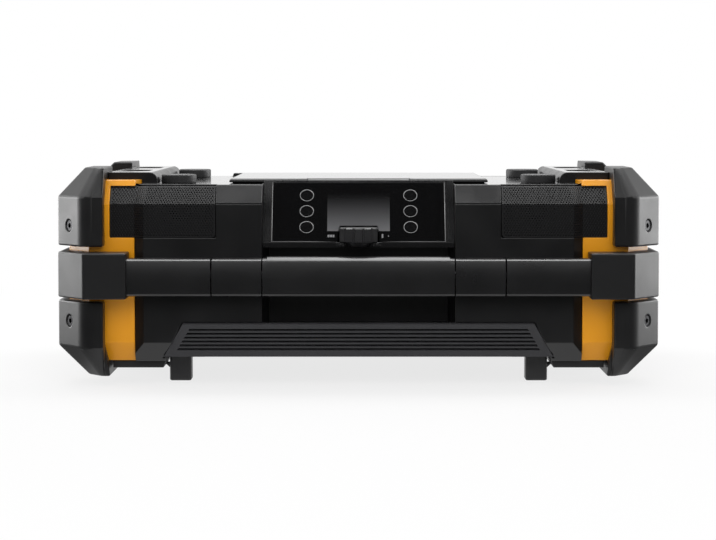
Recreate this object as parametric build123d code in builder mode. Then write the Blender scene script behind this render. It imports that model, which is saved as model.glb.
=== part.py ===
from build123d import *
import os
from math import atan, cos, hypot, radians, sin, tan

# Jobsite radio: a stackable carry-box housing with cushioned corners, a front handle bar, a
# tilted control panel with a thumb dial, four small speakers behind corner grilles, two
# floor-firing woofers, a storage tray under a lid and a battery bay at the rear.
# Frame: +X right, -Y is the front, +Z up, origin under the middle of the box on the floor.

os.makedirs("parts", exist_ok=True)

# ------------------------------------------------------------------ driving dimensions (mm)
overall_length = 440.0
overall_depth = 331.0
overall_height = 160.0
half_length = overall_length / 2
half_depth = overall_depth / 2

wall = 3.0
shaft_clearance = 0.05
moving_gap = 0.4
fit_gap = 0.2

# heights
foot_height = 22.0
base_z = foot_height - 3.5
skid_z = foot_height - 9.0
floor_thickness = 3.0
floor_z = foot_height + floor_thickness
deck_z = overall_height - 12.5
bevel_depth = 10.0
bevel_height = 14.0
parting_z = deck_z - bevel_height
lower_bevel_z = foot_height + 10.6
seam_height = 0.7
seam_depth = 1.2

# corner cladding, in the rear right quadrant (all positive)
side_cladding = 7.0
bumper_setback = 13.5
bumper_thickness = 15.0
frame_wall = 3.5
frame_width = 50.0
frame_depth = 65.0
frame_lip = 3.2
facet_run = 21.0
facet_rise = 28.0
facet_slope = facet_rise / facet_run
frame_cut = 17.0
bumper_front = half_depth - bumper_setback
frame_side = half_length - side_cladding
frame_front = bumper_front - bumper_thickness
frame_inner = frame_side - frame_width
frame_back = frame_front - frame_depth
frame_top = deck_z + frame_lip

# housing plan
corner_side = frame_side - frame_wall
corner_front = frame_front - frame_wall
pod_recess = 9.5
pod_side = corner_side - pod_recess
strip_width = 7.0
strip_drop = 6.0

# bumpers
bumper_width = 35.5
bumper_back_gap = 6.0
bumper_inner = half_length - bumper_width
bumper_back = frame_back + bumper_back_gap
upper_chamfer_height = 21.4
upper_chamfer_side = 20.6
upper_chamfer_front = 12.0
lower_chamfer_z = 29.7
lower_chamfer_side = 22.6
lower_chamfer_front = 13.0
bumper_base = 8.0
upper_mid = overall_height - upper_chamfer_height
toe_width = 3.5
top_cut = 10.0
edge_round = 14.0
side_round = 5.0

# side rails and handle bar
rail_setback = 1.4
rail_side = half_length - rail_setback
bar_z = 80.0
rail_bottom = bar_z - 14.0
rail_top = bar_z + 19.0
rail_corner_round = 3.0
rail_edge_round = 1.5
rail_gap_above = 4.0
rail_gap_below = 3.0
bracket_width = 53.3
bracket_inner = half_length - bracket_width
bar_deep = 20.0
bar_tall = 27.2
bar_lift = 1.4
bar_crown_radius = 60.0
bar_front_setback = 2.0
bar_clearance = 1.5
bar_y = -(half_depth - bar_front_setback - bar_deep / 2)
housing_front = half_depth - bar_front_setback - bar_deep - bar_clearance
bar_round = 5.0
core_radius = 6.0
socket_depth = 22.0
recess_half = 70.0
grip_half = recess_half - 4.3
grip_swell = 0.8
grip_lift = 2.1
sleeve_split = grip_half + 3.6
sleeve_joint = (sleeve_split + bracket_inner) / 2 - 12.1
groove = 0.8

# control panel and finger recess
recess_back_half = grip_half
recess_bottom = bar_z - 33.6
recess_depth = 23.0
panel_setback = 2.0
panel_bottom_z = deck_z - 41.9
shelf_thickness = 3.6
recess_top = panel_bottom_z - shelf_thickness
panel_rise = 2.3
panel_tilt = 36.2
panel_plate = 4.5
glass_thickness = 1.5
glass_margin = 0.6
glass_top_margin = 2.1
cheek_inner = recess_half - 6.0
glass_half = cheek_inner - 0.8
cheek_setback = 2.5
window_half = 22.8
window_low = 10.0
window_high = 43.4
button_radius = 5.4
button_x = window_half + button_radius + 9.75
button_low = 13.3
button_pitch = 14.0
button_gap = 0.15
button_travel = 0.8
knob_radius = 14.35
knob_height = 10.4
knob_lift = 0.5
knob_y_gap = 2.5
knob_skirt = 3.9
pocket_gap = 0.85
pocket_headroom = 1.0
pocket_wall = 1.2

# speakers
grille_width = 59.5
window_width = 18.0
pocket_bottom = deck_z - 38.5
window_top = deck_z - 1.1
baffle_setback = 18.0
grille_thickness = 1.2
grille_setback = 1.0
grille_round = 3.0
driver_offset = 27.0
driver_radius = (window_top - pocket_bottom) / 2 - 0.7
cone_radius = driver_radius - 4.0
woofer_x = 100.0
woofer_radius = 50.0
woofer_slot_pitch = 9.0
woofer_slot_width = 4.0

# vent
vent_top_half = 127.6
vent_bottom_half = 142.0
vent_proud = 2.0
vent_lean = 8.0
vent_thickness = 3.0
vent_gap = 0.4
slot_count = 6
slot_pitch = 2.9
slot_height = 1.65
slot_top_z = recess_bottom - 4.3
slot_margin = 6.8

# feet, pucks and shoulders
foot_width = 16.2
puck_x = 134.0
puck_radius = 13.0
puck_height = 6.5
shoulder_height = 8.5
shoulder_half_depth = housing_front - 30.0
shoulder_round = 6.0
shoulder_dish = (22.0, 52.0)
shoulder_dish_depth = 2.5

# storage
tray_half = 90.0
tray_wall = 2.0
tray_floor = deck_z - 39.5
tray_flange = 3.0
tray_front_gap = 17.6
tray_back_setback = 56.0
lid_margin = 6.0
lid_front_margin = 7.0
lid_thickness = 2.9
gasket_height = 0.5
latch_half = 38.0
hinge_rise = 0.7
lid_edge_round = 2.2
lid_pin_radius = 1.5
latch_pin_radius = 0.8
latch_tab_half = 11.0
port_half = 26.0
flap_half = 18.0

# battery bay
door_half = 73.0
door_low = foot_height + 14.0
door_high = door_low + 69.0
door_gap = 0.3
bay_depth = 69.0
bay_wall = 2.0
door_pin_radius = 1.25
bolt_travel = 4.0

# side latches
side_axis_z = 50.0
side_latch_half = 30.0
side_barrel = 4.0
side_pin_radius = 2.0
side_ear_width = 5.0

# antenna
mast_radius = 2.5
mast_length = 122.0
mast_barrel = 3.2
mast_pin_radius = 1.2
rod_radius = 1.5
rod_driver_gap = 16.5
mast_pivot_x = -100.0

# boards, supply and inlet
board_thickness = 1.6
board_half = 60.0
board_deep = 60.0
board_level = foot_height + 48.0
board_inset = 5.0
post_radius = 3.0
post_clearance = 4.0
supply_wide = 60.0
supply_deep = 75.0
supply_level = floor_z + 9.0
inlet_half = (12.0, 8.0)
inlet_depth = 18.0
inlet_z = foot_height + 38.0

# screws
screw_head_radius = 3.8
screw_head_height = 2.2
screw_socket_radius = 2.0
screw_shank_radius = 2.0
screw_recess_radius = screw_head_radius + 0.35
screw_recess_depth = 3.0
screw_reach = 16.0
screw_x_setback = 9.3
upper_screw_z = overall_height - 42.2
lower_screw_z = 48.4

# ------------------------------------------------------------------ places worked out from them
def panel_height(z, depth=0.0):
    """Height up the panel of the point at this Z and this depth behind its face."""
    tilt = radians(panel_tilt)
    return (z - panel_bottom_z + depth * sin(tilt)) / cos(tilt)


skid_inner = vent_bottom_half - 1.0
foot_x = skid_inner - foot_width / 2
foot_y = housing_front - 55.0
shoulder_inner = puck_x + puck_radius + 1.0
shoulder_outer = bumper_inner - 0.3
grille_outer = frame_inner + window_width
grille_inner = frame_inner - grille_width
baffle_y = housing_front - baffle_setback
driver_x = grille_inner + driver_offset
driver_z = (pocket_bottom + deck_z) / 2
rod_travel = driver_x - rod_driver_gap - (mast_pivot_x + mast_length)
panel_top_z = deck_z + panel_rise
panel_bottom_y = -(housing_front - panel_setback)
panel_length = panel_height(panel_top_z)
panel_top_y = panel_bottom_y + panel_length * sin(radians(panel_tilt))
button_heights = [button_low + row * button_pitch for row in range(3)]
knob_y = panel_bottom_y + knob_y_gap
knob_bottom = panel_bottom_z + knob_lift
knob_top = knob_bottom + knob_height
pocket_radius = knob_radius + pocket_gap
pocket_top = knob_top + pocket_headroom
module_low = panel_height(pocket_top + pocket_wall + 0.6, panel_plate)
recess_back_y = -(housing_front - recess_depth)
tray_front = panel_top_y + tray_front_gap
tray_back = housing_front - tray_back_setback
lid_z = deck_z + gasket_height + 0.1
lid_top = lid_z + lid_thickness
lid_axis_y = tray_back + 12.0
lid_axis_z = deck_z + hinge_rise
bay_back_y = housing_front - wall
bay_front_y = bay_back_y - bay_depth
door_mid = (door_low + door_high) / 2
supply_left = door_half + bay_wall + 15.0
inlet_x = supply_left + 20.0
supply_back = housing_front - inlet_depth - 4.0
supply_front = supply_back - supply_deep
woofer_y = supply_front - woofer_radius - 10.0
board_front = recess_back_y + wall + 11.0
board_post_x = woofer_x - woofer_radius - post_radius - post_clearance

panel_plane = Plane(
    origin=(0, panel_bottom_y, panel_bottom_z),
    x_dir=(1, 0, 0),
    z_dir=(0, -cos(radians(panel_tilt)), sin(radians(panel_tilt))),
)
vent_drop = recess_bottom - foot_height
vent_length = hypot(vent_lean, vent_drop)
vent_plane = Plane(
    origin=(0, -(housing_front + vent_proud), recess_bottom),
    x_dir=(1, 0, 0),
    z_dir=(0, -vent_drop / vent_length, -vent_lean / vent_length),
)


# ------------------------------------------------------------------ shared builders
def outline_block(plane, points, start, end, mode=Mode.ADD):
    """In the current part: extrude a closed outline between two distances along a plane's normal."""
    with BuildSketch(plane.offset(start)) as outline:
        with BuildLine():
            Polyline(*points, close=True)
        make_face()
    extrude(outline.sketch, amount=end - start, mode=mode)


def corner_box(low, high, mode=Mode.ADD):
    """In the current part: a box between two opposite corners, given in any order."""
    centre = tuple((a + b) / 2 for a, b in zip(low, high))
    with Locations(centre):
        Box(*[abs(b - a) for a, b in zip(low, high)], mode=mode)


def slab(plane, low, high, start, end, mode=Mode.ADD):
    """In the current part: a rectangle on a plane, between two distances along its normal."""
    points = [low, (high[0], low[1]), high, (low[0], high[1])]
    outline_block(plane, points, start, end, mode)


def disc(plane, centre, radius, start, end, mode=Mode.ADD):
    """In the current part: a cylinder standing on a plane between two distances along its normal."""
    with BuildSketch(plane.offset(start)) as circle:
        with Locations(centre):
            Circle(radius)
    extrude(circle.sketch, amount=end - start, mode=mode)


def panel_point(height, depth):
    """(Y, Z) of a point on the panel, by its height up the panel and its depth behind the face."""
    tilt = radians(panel_tilt)
    y = panel_bottom_y + height * sin(tilt) + depth * cos(tilt)
    z = panel_bottom_z + height * cos(tilt) - depth * sin(tilt)
    return (y, z)


def inset_cut(cut, inset):
    """Length cut off the front by a facet that has moved inward with its neighbours."""
    return cut - inset * (1 - (hypot(1, facet_slope) - 1) / facet_slope)


def all_quadrants(points):
    """Closed plan outline from the points of its rear right quadrant, listed from front to side."""
    right = points + [(x, -y) for x, y in reversed(points)]
    return right + [(-x, y) for x, y in reversed(right)]


def bevel_lean(height):
    """How far the long bevel has leaned in at a height above the parting line."""
    return height * bevel_depth / bevel_height


def corner_lean(z):
    """How far the bumpers' chamfers have leaned in from the side at a height."""
    above = (z - upper_mid) * upper_chamfer_side / upper_chamfer_height
    below = (lower_chamfer_z - z) * lower_chamfer_side / (lower_chamfer_z - bumper_base)
    return max(above, below, 0)


def end_profile(side, top=deck_z):
    """(X, Z) outline of the housing seen from the front, leaning in as the bumpers do."""
    right = [
        (side - corner_lean(base_z), base_z),
        (side, lower_chamfer_z),
        (side, upper_mid),
        (side - corner_lean(top), top),
    ]
    return right + [(-x, z) for x, z in reversed(right)]


def side_profile(front, top=deck_z):
    """(Y, Z) outline of the housing's cross-section, with its long upper and lower bevels."""
    half = [
        (front - bevel_depth, base_z),
        (front, lower_bevel_z),
        (front, parting_z),
        (front - bevel_lean(top - parting_z), top),
    ]
    return half + [(-y, z) for y, z in reversed(half)]


def bevelled_block(plan, front, inset=0.0, top=deck_z):
    """A plan outline standing up with the long bevels, every face moved inward by the inset."""
    side = max(x for x, y in plan)
    with BuildPart() as block:
        with BuildSketch():
            with BuildLine():
                Polyline(*plan, close=True)
            make_face()
            if inset:
                offset(amount=-inset, kind=Kind.INTERSECTION, mode=Mode.REPLACE)
        extrude(amount=overall_height)
        with BuildSketch(Plane.YZ):
            with BuildLine():
                Polyline(*side_profile(front, top), close=True)
            make_face()
            if inset:
                offset(amount=-inset, kind=Kind.INTERSECTION, mode=Mode.REPLACE)
        extrude(amount=half_length, both=True, mode=Mode.INTERSECT)
        if side > bumper_inner:
            with BuildSketch(Plane.XZ):
                with BuildLine():
                    Polyline(*end_profile(side, top), close=True)
                make_face()
                if inset:
                    offset(amount=-inset, kind=Kind.INTERSECTION, mode=Mode.REPLACE)
            extrude(amount=half_depth, both=True, mode=Mode.INTERSECT)
    return block.part


def corner_copy(piece, side_x, side_y):
    """The rear right piece carried to another corner by mirroring."""
    if side_x < 0:
        piece = mirror(piece, about=Plane.YZ)
    if side_y < 0:
        piece = mirror(piece, about=Plane.XZ)
    return piece


corners = {
    "front_left": (-1, -1),
    "front_right": (1, -1),
    "rear_left": (-1, 1),
    "rear_right": (1, 1),
}
sides = {"left": -1, "right": 1}

centre_plan = all_quadrants(
    [(frame_inner - strip_width, housing_front), (frame_inner, housing_front - strip_drop)]
)
corner_cut = inset_cut(frame_cut, frame_wall)
wide_plan = all_quadrants(
    [
        (corner_side - corner_cut, corner_front),
        (corner_side, corner_front - corner_cut * facet_slope),
        (corner_side, frame_back),
        (pod_side, frame_back),
    ]
)
centre_block = bevelled_block(centre_plan, housing_front)
wide_block = bevelled_block(wide_plan, corner_front)
centre_cavity = bevelled_block(centre_plan, housing_front, wall)
wide_cavity = bevelled_block(wide_plan, corner_front, wall)

# screw axes: square to the corner facets
facet_normal = (facet_slope / hypot(1, facet_slope), 1 / hypot(1, facet_slope), 0)
screw_x = half_length - screw_x_setback
screw_y = bumper_front - (screw_x - (half_length - facet_run)) * facet_slope


def screw_axes(*quadrants):
    """Planes on the bumpers' facets at the screws of these corners, facing outward."""
    return [
        Plane(
            origin=(side_x * screw_x, side_y * screw_y, z),
            x_dir=(0, 0, 1),
            z_dir=(side_x * facet_normal[0], side_y * facet_normal[1], 0),
        )
        for side_x, side_y in quadrants
        for z in (upper_screw_z, lower_screw_z)
    ]


def cut_screw_holes(*quadrants):
    """In the current part: clear the screws' shanks from these corners' facets inward."""
    for axis in screw_axes(*quadrants):
        disc(axis, (0, 0), screw_shank_radius, -2 * screw_reach, 1.0, Mode.SUBTRACT)


def driver_axes():
    """Planes on the four speaker baffles at the drivers' centres, facing outward."""
    return [
        Plane(origin=(side_x * driver_x, side_y * baffle_y, driver_z), z_dir=(0, side_y, 0))
        for side_x, side_y in corners.values()
    ]


# ------------------------------------------------------------------ housing: outside and inside
with BuildPart() as case_outside:
    add(centre_block)
    add(wide_block)
    corner_box(
        (-skid_inner, -half_depth, 0), (skid_inner, half_depth, foot_height), Mode.SUBTRACT
    )
    skid_outer = bumper_inner - toe_width - 1
    skid_outline = [
        (skid_inner, base_z),
        (skid_inner + 2, skid_z),
        (skid_outer, skid_z),
        (skid_outer, base_z),
    ]
    skid_half = housing_front - 16.0
    outline_block(Plane.XZ, skid_outline, -skid_half, skid_half)
    outline_block(Plane.XZ, [(-x, z) for x, z in skid_outline], -skid_half, skid_half)

with BuildPart() as shoulder:
    corner_box(
        (shoulder_inner, -shoulder_half_depth, deck_z),
        (shoulder_outer, shoulder_half_depth, deck_z + shoulder_height),
    )
    inner_top = shoulder.edges().filter_by(Axis.Y).group_by(Axis.Z)[-1].sort_by(Axis.X)[0]
    fillet(inner_top, shoulder_round)
    corner_box(
        (shoulder_inner + wall, -shoulder_half_depth + wall, deck_z),
        (shoulder_outer - wall, shoulder_half_depth - wall, deck_z + shoulder_height / 2),
        Mode.SUBTRACT,
    )
    # two shallow dishes in its top
    for side_y in (-1, 1):
        with BuildSketch(Plane.XY.offset(deck_z + shoulder_height - shoulder_dish_depth)):
            with Locations(((shoulder_inner + shoulder_outer) / 2 + 3, side_y * shoulder_dish[1])):
                RectangleRounded(*shoulder_dish, 8.0)
        extrude(amount=2 * shoulder_dish_depth, mode=Mode.SUBTRACT)

recess_outline = [
    (-recess_half, -housing_front),
    (recess_half, -housing_front),
    (recess_back_half, recess_back_y),
    (-recess_back_half, recess_back_y),
]
panel_back_low = panel_point(panel_height(recess_top, panel_plate), panel_plate)
panel_back_high = panel_point(panel_length + 4.0, panel_plate)

with BuildPart() as case_inside:
    add(centre_cavity)
    add(wide_cavity)
    split(bisect_by=Plane.XY.offset(floor_z), keep=Keep.TOP)
    # walls that stay inside the cavity: speaker pockets, finger recess, panel cheeks
    for side_x in (-1, 1):
        for side_y in (-1, 1):
            corner_box(
                (side_x * (grille_inner - wall), side_y * half_depth, pocket_bottom - wall),
                (side_x * (grille_outer + wall), side_y * (baffle_y - wall), deck_z),
                Mode.SUBTRACT,
            )
    outline_block(
        Plane.XY,
        [
            (-recess_half - wall, -half_depth),
            (recess_half + wall, -half_depth),
            (recess_back_half + wall, recess_back_y + wall),
            (-recess_back_half - wall, recess_back_y + wall),
        ],
        recess_bottom - wall,
        recess_top,
        Mode.SUBTRACT,
    )
    for side in (-1, 1):
        cheek_wall = [
            (-half_depth, recess_top),
            (-half_depth, deck_z),
            (panel_back_high[0] + wall, deck_z),
            (panel_back_low[0] + wall + 4, recess_top),
        ]
        outline_block(
            Plane.YZ.offset(side * recess_half), cheek_wall, 0, side * wall, Mode.SUBTRACT
        )
    # posts that carry the main board and the power supply
    for x in (-board_post_x, board_post_x):
        for y in (board_front + board_inset, board_front + board_deep - board_inset):
            disc(Plane.XY, (x, y), post_radius, floor_z, board_level, Mode.SUBTRACT)
    for x in (supply_left + board_inset, supply_left + supply_wide - board_inset):
        for y in (supply_front + board_inset, supply_back - board_inset):
            disc(Plane.XY, (x, y), post_radius, floor_z, supply_level, Mode.SUBTRACT)

with BuildPart() as case_shell:
    add(case_outside.part)
    add(case_inside.part, mode=Mode.SUBTRACT)
    # open pockets behind the corner grilles, with a driver hole in each baffle
    for side_x in (-1, 1):
        for side_y in (-1, 1):
            corner_box(
                (side_x * grille_inner, side_y * half_depth, pocket_bottom),
                (side_x * grille_outer, side_y * baffle_y, overall_height),
                Mode.SUBTRACT,
            )
    for axis in driver_axes():
        disc(axis, (0, 0), cone_radius + 0.8, -2 * wall, 1, Mode.SUBTRACT)
    # finger recess and the opening that the control panel fills
    outline_block(Plane.XY, recess_outline, recess_bottom, recess_top, Mode.SUBTRACT)
    panel_opening = [
        (-half_depth, recess_top),
        (-half_depth, overall_height),
        (panel_back_high[0], overall_height),
        panel_back_high,
        panel_back_low,
    ]
    outline_block(Plane.YZ, panel_opening, -recess_half, recess_half, Mode.SUBTRACT)
    cut_screw_holes(*corners.values())
    # hollow under each shoulder
    for side_x in (-1, 1):
        corner_box(
            (side_x * (shoulder_inner + wall), -shoulder_half_depth + wall, deck_z - wall),
            (side_x * (shoulder_outer - wall), shoulder_half_depth - wall, deck_z),
            Mode.SUBTRACT,
        )

# ------------------------------------------------------------------ lower housing
vent_outline = [
    (-vent_bottom_half, -vent_length),
    (vent_bottom_half, -vent_length),
    (vent_top_half, 0),
    (-vent_top_half, 0),
]
vent_slope = (vent_bottom_half - vent_top_half) / vent_drop
vent_cos = vent_drop / vent_length

door_axis_x = -(door_half + 4.5)
door_axis_y = housing_front - 0.5
knuckle_radius = 2.8
door_knuckles = ((door_low + 9.0, door_low + 24.0), (door_high - 24.0, door_high - 9.0))
door_ears = (
    (door_low + 2.0, door_knuckles[0][0] - moving_gap),
    (door_knuckles[0][1] + moving_gap, door_knuckles[1][0] - moving_gap),
    (door_knuckles[1][1] + moving_gap, door_high - 2.0),
)
side_axis_x = pod_side + 6.0

with BuildPart() as lower_housing:
    add(case_shell.part)
    split(bisect_by=Plane.XY.offset(parting_z), keep=Keep.BOTTOM)
    # slanted opening that the vent panel closes
    outline_block(
        vent_plane,
        [
            (-vent_bottom_half - vent_gap - 1, -vent_length - 2),
            (vent_bottom_half + vent_gap + 1, -vent_length - 2),
            (vent_top_half + vent_gap, vent_gap),
            (-vent_top_half - vent_gap, vent_gap),
        ],
        -vent_thickness,
        20,
        Mode.SUBTRACT,
    )
    # wall behind the vent panel, open between the floor and the finger recess
    outline_block(
        Plane.XZ,
        [
            (-vent_bottom_half + 12, floor_z),
            (vent_bottom_half - 12, floor_z),
            (vent_top_half - 2, recess_bottom - wall),
            (-vent_top_half + 2, recess_bottom - wall),
        ],
        housing_front - 15,
        housing_front + 5,
        Mode.SUBTRACT,
    )
    # sound slots under the woofers
    slot_reach = woofer_radius - 8.0
    slot_rows = int(slot_reach / woofer_slot_pitch)
    for side in (-1, 1):
        for row in range(-slot_rows, slot_rows + 1):
            shift = row * woofer_slot_pitch
            with BuildSketch(Plane.XY.offset(foot_height - 1)):
                with Locations((side * woofer_x, woofer_y + shift)):
                    SlotOverall(2 * (slot_reach**2 - shift**2) ** 0.5, woofer_slot_width)
            extrude(amount=floor_thickness + 2, mode=Mode.SUBTRACT)
    # battery door opening, with the hinge's ears and clearance for its knuckles
    corner_box(
        (-door_half - door_gap, bay_back_y - 1, door_low - door_gap),
        (door_half + door_gap, housing_front + 1, door_high + door_gap),
        Mode.SUBTRACT,
    )
    for low, high in door_knuckles:
        disc(Plane.XY, (door_axis_x, door_axis_y), knuckle_radius + moving_gap,
             low - moving_gap, high + moving_gap, Mode.SUBTRACT)
        corner_box(
            (door_axis_x, bay_back_y - fit_gap, low - moving_gap),
            (-door_half, housing_front + 1, high + moving_gap),
            Mode.SUBTRACT,
        )
    for low, high in door_ears:
        disc(Plane.XY, (door_axis_x, door_axis_y), knuckle_radius, low, high)
    disc(Plane.XY, (door_axis_x, door_axis_y), door_pin_radius, door_ears[0][0], door_ears[-1][1],
         Mode.SUBTRACT)
    # mains inlet hole
    corner_box(
        (inlet_x - inlet_half[0], bay_back_y - 1, inlet_z - inlet_half[1]),
        (inlet_x + inlet_half[0], housing_front + 1, inlet_z + inlet_half[1]),
        Mode.SUBTRACT,
    )
    # ears for the side latches
    for side in (-1, 1):
        for end in (-1, 1):
            ear = [
                (side * pod_side, side_axis_z - 8),
                (side * side_axis_x, side_axis_z - 4),
                (side * (side_axis_x + 4), side_axis_z),
                (side * side_axis_x, side_axis_z + 4),
                (side * pod_side, side_axis_z + 8),
            ]
            near = end * (side_latch_half + moving_gap)
            outline_block(Plane.XZ, ear, -near - end * side_ear_width, -near)
            disc(Plane.XZ, (side * side_axis_x, side_axis_z), side_pin_radius,
                 -near - end * (side_ear_width + 1), -near + end, Mode.SUBTRACT)

lower_housing.part.label = "lower_housing"
export_step(lower_housing.part, "parts/lower_housing.step")

# ------------------------------------------------------------------ top cover
latch_slot_y = tray_front - lid_front_margin - 1.5
lid_knuckle_radius = 2.6
knuckle_near = tray_half - 30.0
knuckle_far = tray_half - 10.0
lid_knuckles = ((-knuckle_far, -knuckle_near), (knuckle_near, knuckle_far))
right_ears = (
    (knuckle_near - 8.0, knuckle_near - moving_gap),
    (knuckle_far + moving_gap, knuckle_far + 8.0),
)
lid_ears = [(-far, -near) for near, far in reversed(right_ears)] + list(right_ears)
mast_y = tray_back + 29.0
mast_z = deck_z - 0.6
mast_slot = mast_barrel + 1.2
mast_ear_width = 2.2
mast_pin_half = mast_slot + mast_ear_width
trough_radius = mast_radius + 0.9
trough_wall = 1.5

with BuildPart() as seam_ring:
    add(centre_block)
    add(wide_block)
    split(bisect_by=Plane.XY.offset(parting_z), keep=Keep.TOP)
    split(bisect_by=Plane.XY.offset(parting_z + seam_height), keep=Keep.BOTTOM)
    add(bevelled_block(centre_plan, housing_front, seam_depth), mode=Mode.SUBTRACT)
    add(bevelled_block(wide_plan, corner_front, seam_depth), mode=Mode.SUBTRACT)

with BuildPart() as top_cover:
    add(case_shell.part)
    split(bisect_by=Plane.XY.offset(parting_z), keep=Keep.TOP)
    add(seam_ring.part, mode=Mode.SUBTRACT)
    add(shoulder.part)
    add(mirror(shoulder.part, about=Plane.YZ))
    # opening over the storage tray, and the slot for the lid latch's tab
    corner_box(
        (-tray_half - fit_gap, tray_front - fit_gap, deck_z - 2 * wall),
        (tray_half + fit_gap, tray_back + fit_gap, deck_z + 1),
        Mode.SUBTRACT,
    )
    corner_box(
        (-latch_tab_half - 2, latch_slot_y - 3, deck_z - 2 * wall),
        (latch_tab_half + 2, latch_slot_y + 3, deck_z + 1),
        Mode.SUBTRACT,
    )
    # lid hinge: clearance under the knuckles, ears between them
    for low, high in lid_knuckles:
        disc(Plane.YZ, (lid_axis_y, lid_axis_z), lid_knuckle_radius + moving_gap,
             low - moving_gap, high + moving_gap, Mode.SUBTRACT)
    for low, high in lid_ears:
        disc(Plane.YZ, (lid_axis_y, lid_axis_z), lid_knuckle_radius, low, high)
    disc(Plane.YZ, (lid_axis_y, lid_axis_z), lid_pin_radius, lid_ears[0][0], lid_ears[-1][1],
         Mode.SUBTRACT)
    # trough for the folded antenna, with a thicker deck round it and two ears at its pivot
    trough_end = mast_pivot_x + mast_length + rod_travel + 8
    trough_half = trough_radius + trough_wall
    pivot_bottom = mast_z - mast_barrel - moving_gap
    corner_box((mast_pivot_x - 9, mast_y - trough_half, mast_z - trough_half),
               (trough_end + trough_wall, mast_y + trough_half, deck_z - 1))
    corner_box((mast_pivot_x - 9, mast_y - 6, pivot_bottom - trough_wall),
               (mast_pivot_x + 9, mast_y + 6, deck_z - 1))
    disc(Plane.YZ, (mast_y, mast_z), trough_radius, mast_pivot_x - 6, trough_end, Mode.SUBTRACT)
    corner_box((mast_pivot_x - 6, mast_y - mast_slot, pivot_bottom),
               (mast_pivot_x + 6, mast_y + mast_slot, overall_height), Mode.SUBTRACT)
    for side_y in (-1, 1):
        near = mast_y + side_y * mast_slot
        outline_block(
            Plane.XZ,
            [
                (mast_pivot_x - 5, deck_z - 2),
                (mast_pivot_x + 5, deck_z - 2),
                (mast_pivot_x + 3.5, mast_z + mast_barrel),
                (mast_pivot_x - 3.5, mast_z + mast_barrel),
            ],
            -near - side_y * mast_ear_width,
            -near,
        )
    disc(Plane.XZ, (mast_pivot_x, mast_z), mast_pin_radius, -mast_y - mast_pin_half,
         -mast_y + mast_pin_half, Mode.SUBTRACT)

top_cover.part.label = "top_cover"
export_step(top_cover.part, "parts/top_cover.step")

# ------------------------------------------------------------------ vent panel
with BuildPart() as vent_panel:
    outline_block(vent_plane, vent_outline, -vent_thickness, 0)
    for index in range(slot_count):
        z = slot_top_z - index * slot_pitch
        half = vent_top_half + vent_slope * (recess_bottom - z) - slot_margin
        high = (z + slot_height / 2 - recess_bottom) / vent_cos
        low = (z - slot_height / 2 - recess_bottom) / vent_cos
        drift = vent_slope * slot_height / 2
        outline_block(
            vent_plane,
            [(-half - drift, low), (half + drift, low), (half - drift, high), (-half + drift, high)],
            -2 * vent_thickness,
            1,
            Mode.SUBTRACT,
        )

vent_panel.part.label = "vent_panel"
export_step(vent_panel.part, "parts/vent_panel.step")

# ------------------------------------------------------------------ corner frames
frame_plan = [
    (frame_inner, frame_front),
    (frame_side - frame_cut, frame_front),
    (frame_side, frame_front - frame_cut * facet_slope),
    (frame_side, frame_back),
    (frame_inner, frame_back),
]
frame_block = bevelled_block(frame_plan, frame_front, top=frame_top)
strip_front = frame_front - bevel_lean(frame_top - parting_z)
strip_point = 3.5

with BuildPart() as corner_frame:
    add(frame_block)
    add(centre_block, mode=Mode.SUBTRACT)
    add(wide_block, mode=Mode.SUBTRACT)
    # pointed end of the strip over the grille
    outline_block(
        Plane.XY,
        [
            (frame_inner - strip_point, shoulder_half_depth + 2),
            (frame_inner, strip_front),
            (frame_inner, shoulder_half_depth),
            (frame_inner - strip_point, shoulder_half_depth),
        ],
        deck_z,
        frame_top,
    )
    corner_box(
        (0, 0, deck_z),
        (shoulder_outer + 0.3, shoulder_half_depth, overall_height),
        Mode.SUBTRACT,
    )
    corner_box(
        (frame_inner - 1, baffle_y, pocket_bottom),
        (grille_outer, half_depth, window_top),
        Mode.SUBTRACT,
    )
    cut_screw_holes((1, 1))

# ------------------------------------------------------------------ bumpers
def corner_face(side, front, cut, inner, back):
    """In the current sketch: one corner's plan, with the front and facet run together."""
    points = [
        (inner, front),
        (side - cut, front),
        (side, front - cut * facet_slope),
        (side, back),
        (inner, back),
    ]
    with BuildLine() as outline:
        Polyline(*points, close=True)
    make_face(outline.edges())
    rounded = vertices().sort_by_distance((side - cut, front, 0))[0]
    half_turn = atan(facet_slope) / 2
    fillet(rounded, min(edge_round, 0.95 * (side - cut - inner) / tan(half_turn)))
    rounded = vertices().sort_by_distance((side, front - cut * facet_slope, 0))[0]
    fillet(rounded, side_round)


upper_low = rail_top + rail_gap_above
lower_high = rail_bottom - rail_gap_below
upper_face = (half_length, bumper_front, facet_run, bumper_inner, bumper_back)
upper_crown = (half_length - upper_chamfer_side, bumper_front - upper_chamfer_front, top_cut,
               bumper_inner, bumper_back)
lower_crown = (half_length - lower_chamfer_side, bumper_front - lower_chamfer_front, top_cut,
               bumper_inner, bumper_back)

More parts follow.
